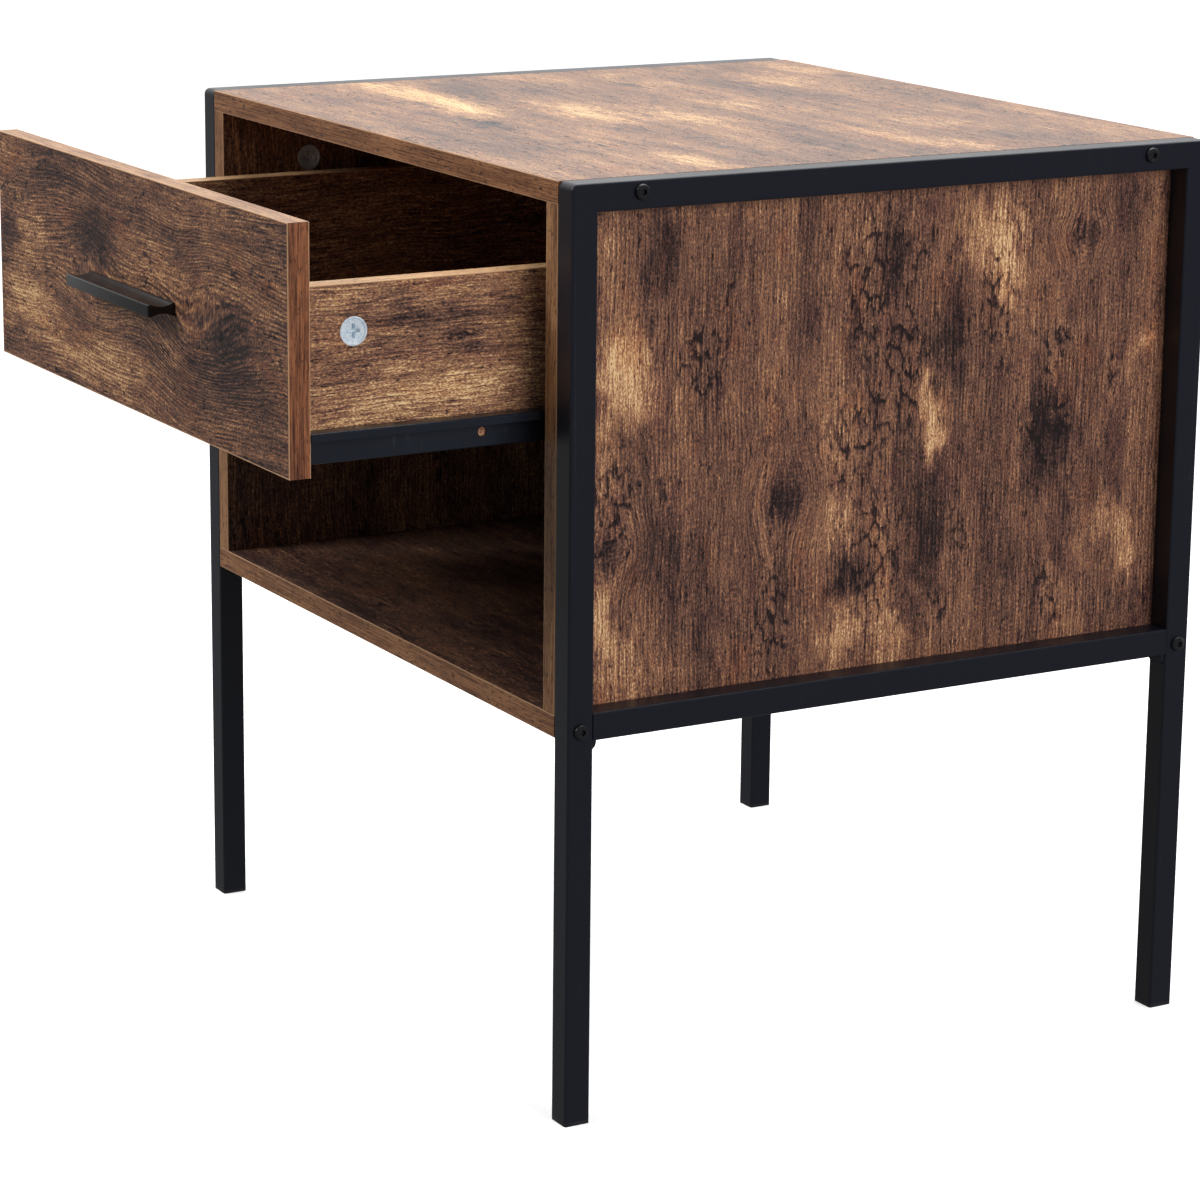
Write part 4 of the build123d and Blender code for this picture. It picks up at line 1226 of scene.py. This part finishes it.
@dataclass
class Drawer:
    """The drawer's boards, bands and handle."""

    front: RusticBoard = RusticBoard(
        "rustic_drawer_front",
        Grain.STANDING_FRONT,
        patches=(
            Patch(395, -150, 22, 50, 0.3), Patch(435, -140, 14, 30, 0.22), Patch(372, -60, 14, 80, 0.26),
            Patch(385, -10, 12, 50, 0.16), Patch(455, 40, 22, 60, 0.1), Patch(436, 30, 10, 50, 0.14),
            Patch(474, 90, 12, 30, 0.1), Patch(446, -52, 20, 34, -0.34), Patch(474, -120, 14, 40, -0.18),
            Patch(430, -185, 22, 16, -0.3), Patch(412, 125, 30, 30, -0.34), Patch(392, 80, 26, 24, -0.22),
            Patch(478, 0, 12, 80, -0.14), Patch(385, 160, 20, 30, -0.14), Patch(400, 20, 12, 30, -0.18),
        ),
        knots=(
            Knot(452, -158, 2, 3, 0.3),
            Knot(424, -60, 16, 26, 0.06, 0.8),
            Knot(424, 100, 20, 40, 0.04, 0.8),
        ),
        seed=5.0,
        tone=0.45,
        wave_mm=22.0,
        wave_length_mm=170.0,
        mottle=0.3,
        line_mm=2.3,
        lines=0.3,
        shine=0.25,
        tint=(1.0, 0.96, 0.9),
    )
    side: RusticBoard = RusticBoard(
        "rustic_drawer_sides",
        Grain.STANDING_SIDE,
        patches=(
            Patch(390, -215, 12, 30, 0.2), Patch(395, -165, 10, 34, 0.22), Patch(444, -225, 8, 24, 0.12),
            Patch(433, -190, 8, 34, -0.3), Patch(420, -165, 8, 26, -0.24), Patch(370, -214, 7, 15, -0.34),
        ),
        knots=(Knot(420, -163, 3, 4, 0.2),),
        seed=7.0,
        tone=0.59,
        wave_mm=8.0,
        mottle=0.4,
    )
    back: RusticBoard = RusticBoard(
        "rustic_drawer_back", Grain.STANDING_FRONT, seed=8.4, tone=0.48, wave_mm=8.0
    )
    floor: RusticBoard = RusticBoard("printed_drawer_floor", Grain.FLAT, seed=9.2, tone=0.36, mottle=0.4)
    handle_edge_mm: float = 0.3
    handle_coat: CoatedMetal = CoatedMetal(
        "black_handle_coat", srgb(21, 21, 23), srgb(50, 52, 48), roughness=0.34, texture_mm=0.35, scuff=0.3
    )

    def build(self, nodes: dict[str, bpy.types.Object]) -> None:
        """Dresses the drawer's nodes."""
        dress(nodes, ["drawer_front"], self.front.material())
        dress(nodes, both("drawer_side"), self.side.material())
        dress(nodes, ["drawer_back"], self.back.material())
        dress(nodes, ["drawer_floor"], self.floor.material())
        low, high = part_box("drawer_front")
        middle = (low[1] + high[1]) / 2 / MM
        g_front = EdgeBand(
            "drawer_front_band_print",
            BandRun.LEVEL,
            (middle,),
            base=srgb(134, 96, 68),
            light=srgb(184, 144, 108),
        )
        dress(nodes, ["drawer_front_bands"], FrontBand(g_front, middle).material())
        side_low, side_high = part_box("right_drawer_side")
        side_middle = (side_low[0] + side_high[0]) / 2 / MM
        side_band = EdgeBand(
            "drawer_side_band_print",
            BandRun.DRAWER_SIDE,
            (-side_middle, side_middle),
            base=srgb(172, 128, 88),
            light=srgb(212, 174, 128),
            dark=srgb(96, 64, 46),
        )
        dress(nodes, both("drawer_side_band"), side_band.material())
        dress(nodes, ["drawer_back_band"], side_band.material())
        bar = Bench.soft_copy(nodes["handle"], "bar_handle", self.handle_edge_mm)
        Bench.hand_over(bar, "drawer", "handle", "handle_black", self.handle_coat.material())


@dataclass(frozen=True)
class FrontBand:
    """The band round the drawer front, whose print runs along whichever edge it covers; its upright edges get
    darker colours as painted shade.
    """

    band: EdgeBand
    middle_mm: float
    # Darker colours for the upright edges of the same band: painted shade
    shaded_upright_base: Colour = srgb(92, 56, 42)
    shaded_upright_pale: Colour = srgb(156, 100, 68)

    def material(self) -> bpy.types.Material:
        """Builds the material.

        Returns:
            The material.
        """
        band = self.band
        g = Graph(band.name)
        axis = g.axes(g.millimetres())
        normal = g.axes(g.out("ShaderNodeNewGeometry", output="True Normal"))
        upright = normal["X"].absolute().step(0.4, 0.6)
        along = axis["X"] * (1.0 - upright) + axis["Z"] * upright
        across = axis["Y"]
        lines, fine, blotch, specks = band.strips(g, across, along, upright * 3.0, (0.03, 0.14, 0.02))
        grain = lines + (fine - 0.5) * 0.5
        level_look = g.mix((grain + (blotch - 0.5) * 0.7).step(0.3, 0.72), band.base, band.light)
        shaded_upright_look = g.mix(
            (grain + (blotch - 0.5) * 0.8).step(0.32, 0.74), self.shaded_upright_base, self.shaded_upright_pale
        )
        # Faces turned sideways take the darker colours: painted shade by facing
        body = g.mix(upright, level_look, shaded_upright_look)
        marked = g.mix(specks.step(0.58, 0.66) * 0.7, body, band.dark)
        grooved = g.mix(lines.step(0.46, 0.32, 0.0, 0.6), marked, band.dark)
        height = (lines - 0.5) * 0.6 + (fine - 0.5) * 0.4
        return band.rimmed(g, (across - self.middle_mm).absolute(), grooved, height, fine)


@dataclass
class Slides:
    """The roller slides."""

    coat: CoatedMetal = CoatedMetal(
        "black_slide_coat", srgb(23, 27, 36), srgb(70, 74, 82), roughness=0.3, texture_mm=0.8, scuff=0.3
    )
    nylon: MouldedPlastic = MouldedPlastic("white_nylon", srgb(228, 228, 220), srgb(206, 205, 194), 0.38)

    def build(self, nodes: dict[str, bpy.types.Object]) -> None:
        """Dresses the slides and rollers."""
        dress(nodes, both("cabinet_slide", "drawer_slide"), self.coat.material())
        dress(nodes, both("front_roller", "rear_roller"), self.nylon.material())


@dataclass
class Fasteners:
    """Cams, bolts, dowels and screws."""

    zinc: PlatedZinc = PlatedZinc()
    beech: PlainTimber = PlainTimber()
    lock: CamLock = field(default_factory=CamLock)

    def build(self, nodes: dict[str, bpy.types.Object]) -> None:
        """Dresses the fasteners."""
        zinc_names = [
            "cabinet_cam_bolts",
            "bottom_screws",
            "cabinet_slide_screws",
            "cabinet_roller_pins",
            "drawer_cam_bolts",
            "drawer_back_screws",
            "drawer_slide_screws",
            "drawer_roller_pins",
            "handle_screws",
        ]
        zinc = self.zinc.material()
        dress(nodes, zinc_names, zinc)
        self.add_cams(zinc)
        dress(nodes, ["cabinet_dowels", "drawer_dowels"], self.beech.material())

    def add_cams(self, zinc: bpy.types.Material) -> None:
        """Sets the cam locks in the drawer sides and the cabinet sides.

        Args:
            zinc: The locks' plating.
        """
        to_front, up = Vector((0, -1, 0)), Vector((0, 0, 1))
        low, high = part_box("drawer_cams")
        y, z = (low[1] + high[1]) / 2, (low[2] + high[2]) / 2
        drawer_places = [
            CamLock.place(Vector((side * high[0], y, z)), Vector((side, 0, 0)), to_front) for side in (-1, 1)
        ]
        pair = Bench.copies(self.lock.model(), drawer_places, "drawer_cam_locks")
        Bench.hand_over(pair, "drawer", "drawer_cams", "zinc_plate", zinc)

        low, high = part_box("cabinet_cams")
        inner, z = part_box("right_side_panel")[0][0], (low[2] + high[2]) / 2
        radius = self.lock.radius_mm * MM
        cabinet_places = [
            CamLock.place(Vector((side * inner, y, z)), Vector((-side, 0, 0)), up)
            for side in (-1, 1)
            for y in (low[1] + radius, high[1] - radius)
        ]
        four = Bench.copies(self.lock.model(), cabinet_places, "cabinet_cam_locks")
        Bench.hand_over(four, "cabinet", "cabinet_cams", "zinc_plate", zinc)


# ---- Studio -----------------------------------------------------------------------------------


@dataclass
class Studio:
    """A pale floor, a soft surround, three soft boxes and the camera."""

    azimuth: float = 60.249
    elevation: float = 13.375
    roll: float = 0.597
    eye: tuple[float, float, float] = (1.8916, -1.0561, 0.7730)
    lens_mm: float = 116.0
    rise: float = -0.05
    floor_half: float = 30.0
    lamps: list[tuple[str, tuple, float, float, bool]] = field(
        default_factory=lambda: [
            ("fill_box", (2.4, 0.6, 0.9), 1.4, 46.0, False),
            ("front_box", (-0.7, -2.3, 1.9), 1.0, 44.0, True),
            ("top_box", (-0.4, 0.6, 3.0), 2.6, 66.0, True),
        ]
    )

    def floor(self) -> None:
        """Lays the pale floor."""
        bpy.ops.mesh.primitive_plane_add(size=2 * self.floor_half, location=(0, 0, 0))
        ground = bpy.context.object
        ground.name = "floor"
        g = Graph("pale_floor")
        grain = g.noise(g.scaled(g.millimetres(), (0.01, 0.01, 0.01)), 2.0, 0.5)
        ground.data.materials.append(
            g.surface(
                Base_Color=g.mix(grain, (0.86, 0.86, 0.86), (0.9, 0.9, 0.9)),
                Roughness=0.9,
                Specular_IOR_Level=0.1,
                Emission_Color=(1.0, 1.0, 1.0, 1.0),
                Emission_Strength=0.5,
            )
        )
        ground.visible_glossy = False
        ground.visible_diffuse = False

    def surround(self) -> None:
        """Sets the soft surround: brighter to the left of the table, dim to its right."""
        world = bpy.data.worlds.new("soft_surround")
        bpy.context.scene.world = world
        world.use_nodes = True
        tree = world.node_tree
        tree.nodes.clear()
        aim = tree.nodes.new("ShaderNodeTexCoord")
        dot = tree.nodes.new("ShaderNodeVectorMath")
        dot.operation = "DOT_PRODUCT"
        dot.inputs[1].default_value = (-0.72, 0.5, 0.48)
        ease = tree.nodes.new("ShaderNodeMapRange")
        ease.interpolation_type = "SMOOTHSTEP"
        for index, value in ((1, 0.3), (2, 0.95), (3, 0.24), (4, 1.7)):
            ease.inputs[index].default_value = value
        sight = tree.nodes.new("ShaderNodeLightPath")
        blend = tree.nodes.new("ShaderNodeMix")
        lit = tree.nodes.new("ShaderNodeBackground")
        out = tree.nodes.new("ShaderNodeOutputWorld")
        blend.inputs[3].default_value = 1.0
        tree.links.new(aim.outputs["Generated"], dot.inputs[0])
        tree.links.new(dot.outputs["Value"], ease.inputs[0])
        tree.links.new(sight.outputs["Is Camera Ray"], blend.inputs[0])
        tree.links.new(ease.outputs[0], blend.inputs[2])
        tree.links.new(blend.outputs[0], lit.inputs["Strength"])
        tree.links.new(lit.outputs[0], out.inputs["Surface"])

    def lights(self) -> None:
        """Hangs the soft boxes, each facing the table."""
        target = Vector((0.0, 0.0, 0.3))
        for name, place, size, power, shines in self.lamps:
            data = bpy.data.lights.new(name, "AREA")
            data.shape, data.size, data.energy = "SQUARE", size, power
            lamp = bpy.data.objects.new(name, data)
            bpy.context.scene.collection.objects.link(lamp)
            lamp.location = place
            lamp.visible_glossy = shines
            lamp.rotation_euler = (target - Vector(place)).to_track_quat("-Z", "Y").to_euler()

    def camera(self) -> None:
        """Places the camera."""
        data = bpy.data.cameras.new("view")
        data.sensor_width, data.lens, data.shift_y = 36.0, self.lens_mm, self.rise
        data.clip_start, data.clip_end = 0.05, 100.0
        seat = bpy.data.objects.new("view", data)
        bpy.context.scene.collection.objects.link(seat)
        turn, tilt, roll = (math.radians(a) for a in (self.azimuth, self.elevation, self.roll))
        back = Vector((math.sin(turn) * math.cos(tilt), -math.cos(turn) * math.cos(tilt), math.sin(tilt)))
        right = Vector((0, 0, 1)).cross(back).normalized()
        up = back.cross(right)
        rolled_right = right * math.cos(roll) + up * math.sin(roll)
        rolled_up = up * math.cos(roll) - right * math.sin(roll)
        pose = Matrix((rolled_right, rolled_up, back)).transposed().to_4x4()
        pose.translation = self.eye
        seat.matrix_world = pose
        bpy.context.scene.camera = seat

    def build(self) -> None:
        """Sets the studio up."""
        bpy.context.scene.view_settings.view_transform = "Standard"
        self.floor()
        self.surround()
        self.lights()
        self.camera()


def main() -> None:
    """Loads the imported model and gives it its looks."""
    logging.basicConfig(level=logging.INFO, format="%(name)s: %(message)s")
    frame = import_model()
    nodes = frame["nodes"]
    bpy.ops.object.select_all(action="DESELECT")
    for part in (SideFrames(), Cabinet(), Drawer(), Slides(), Fasteners()):
        part.build(nodes)
    Studio().build()


if __name__ == "__main__":
    main()
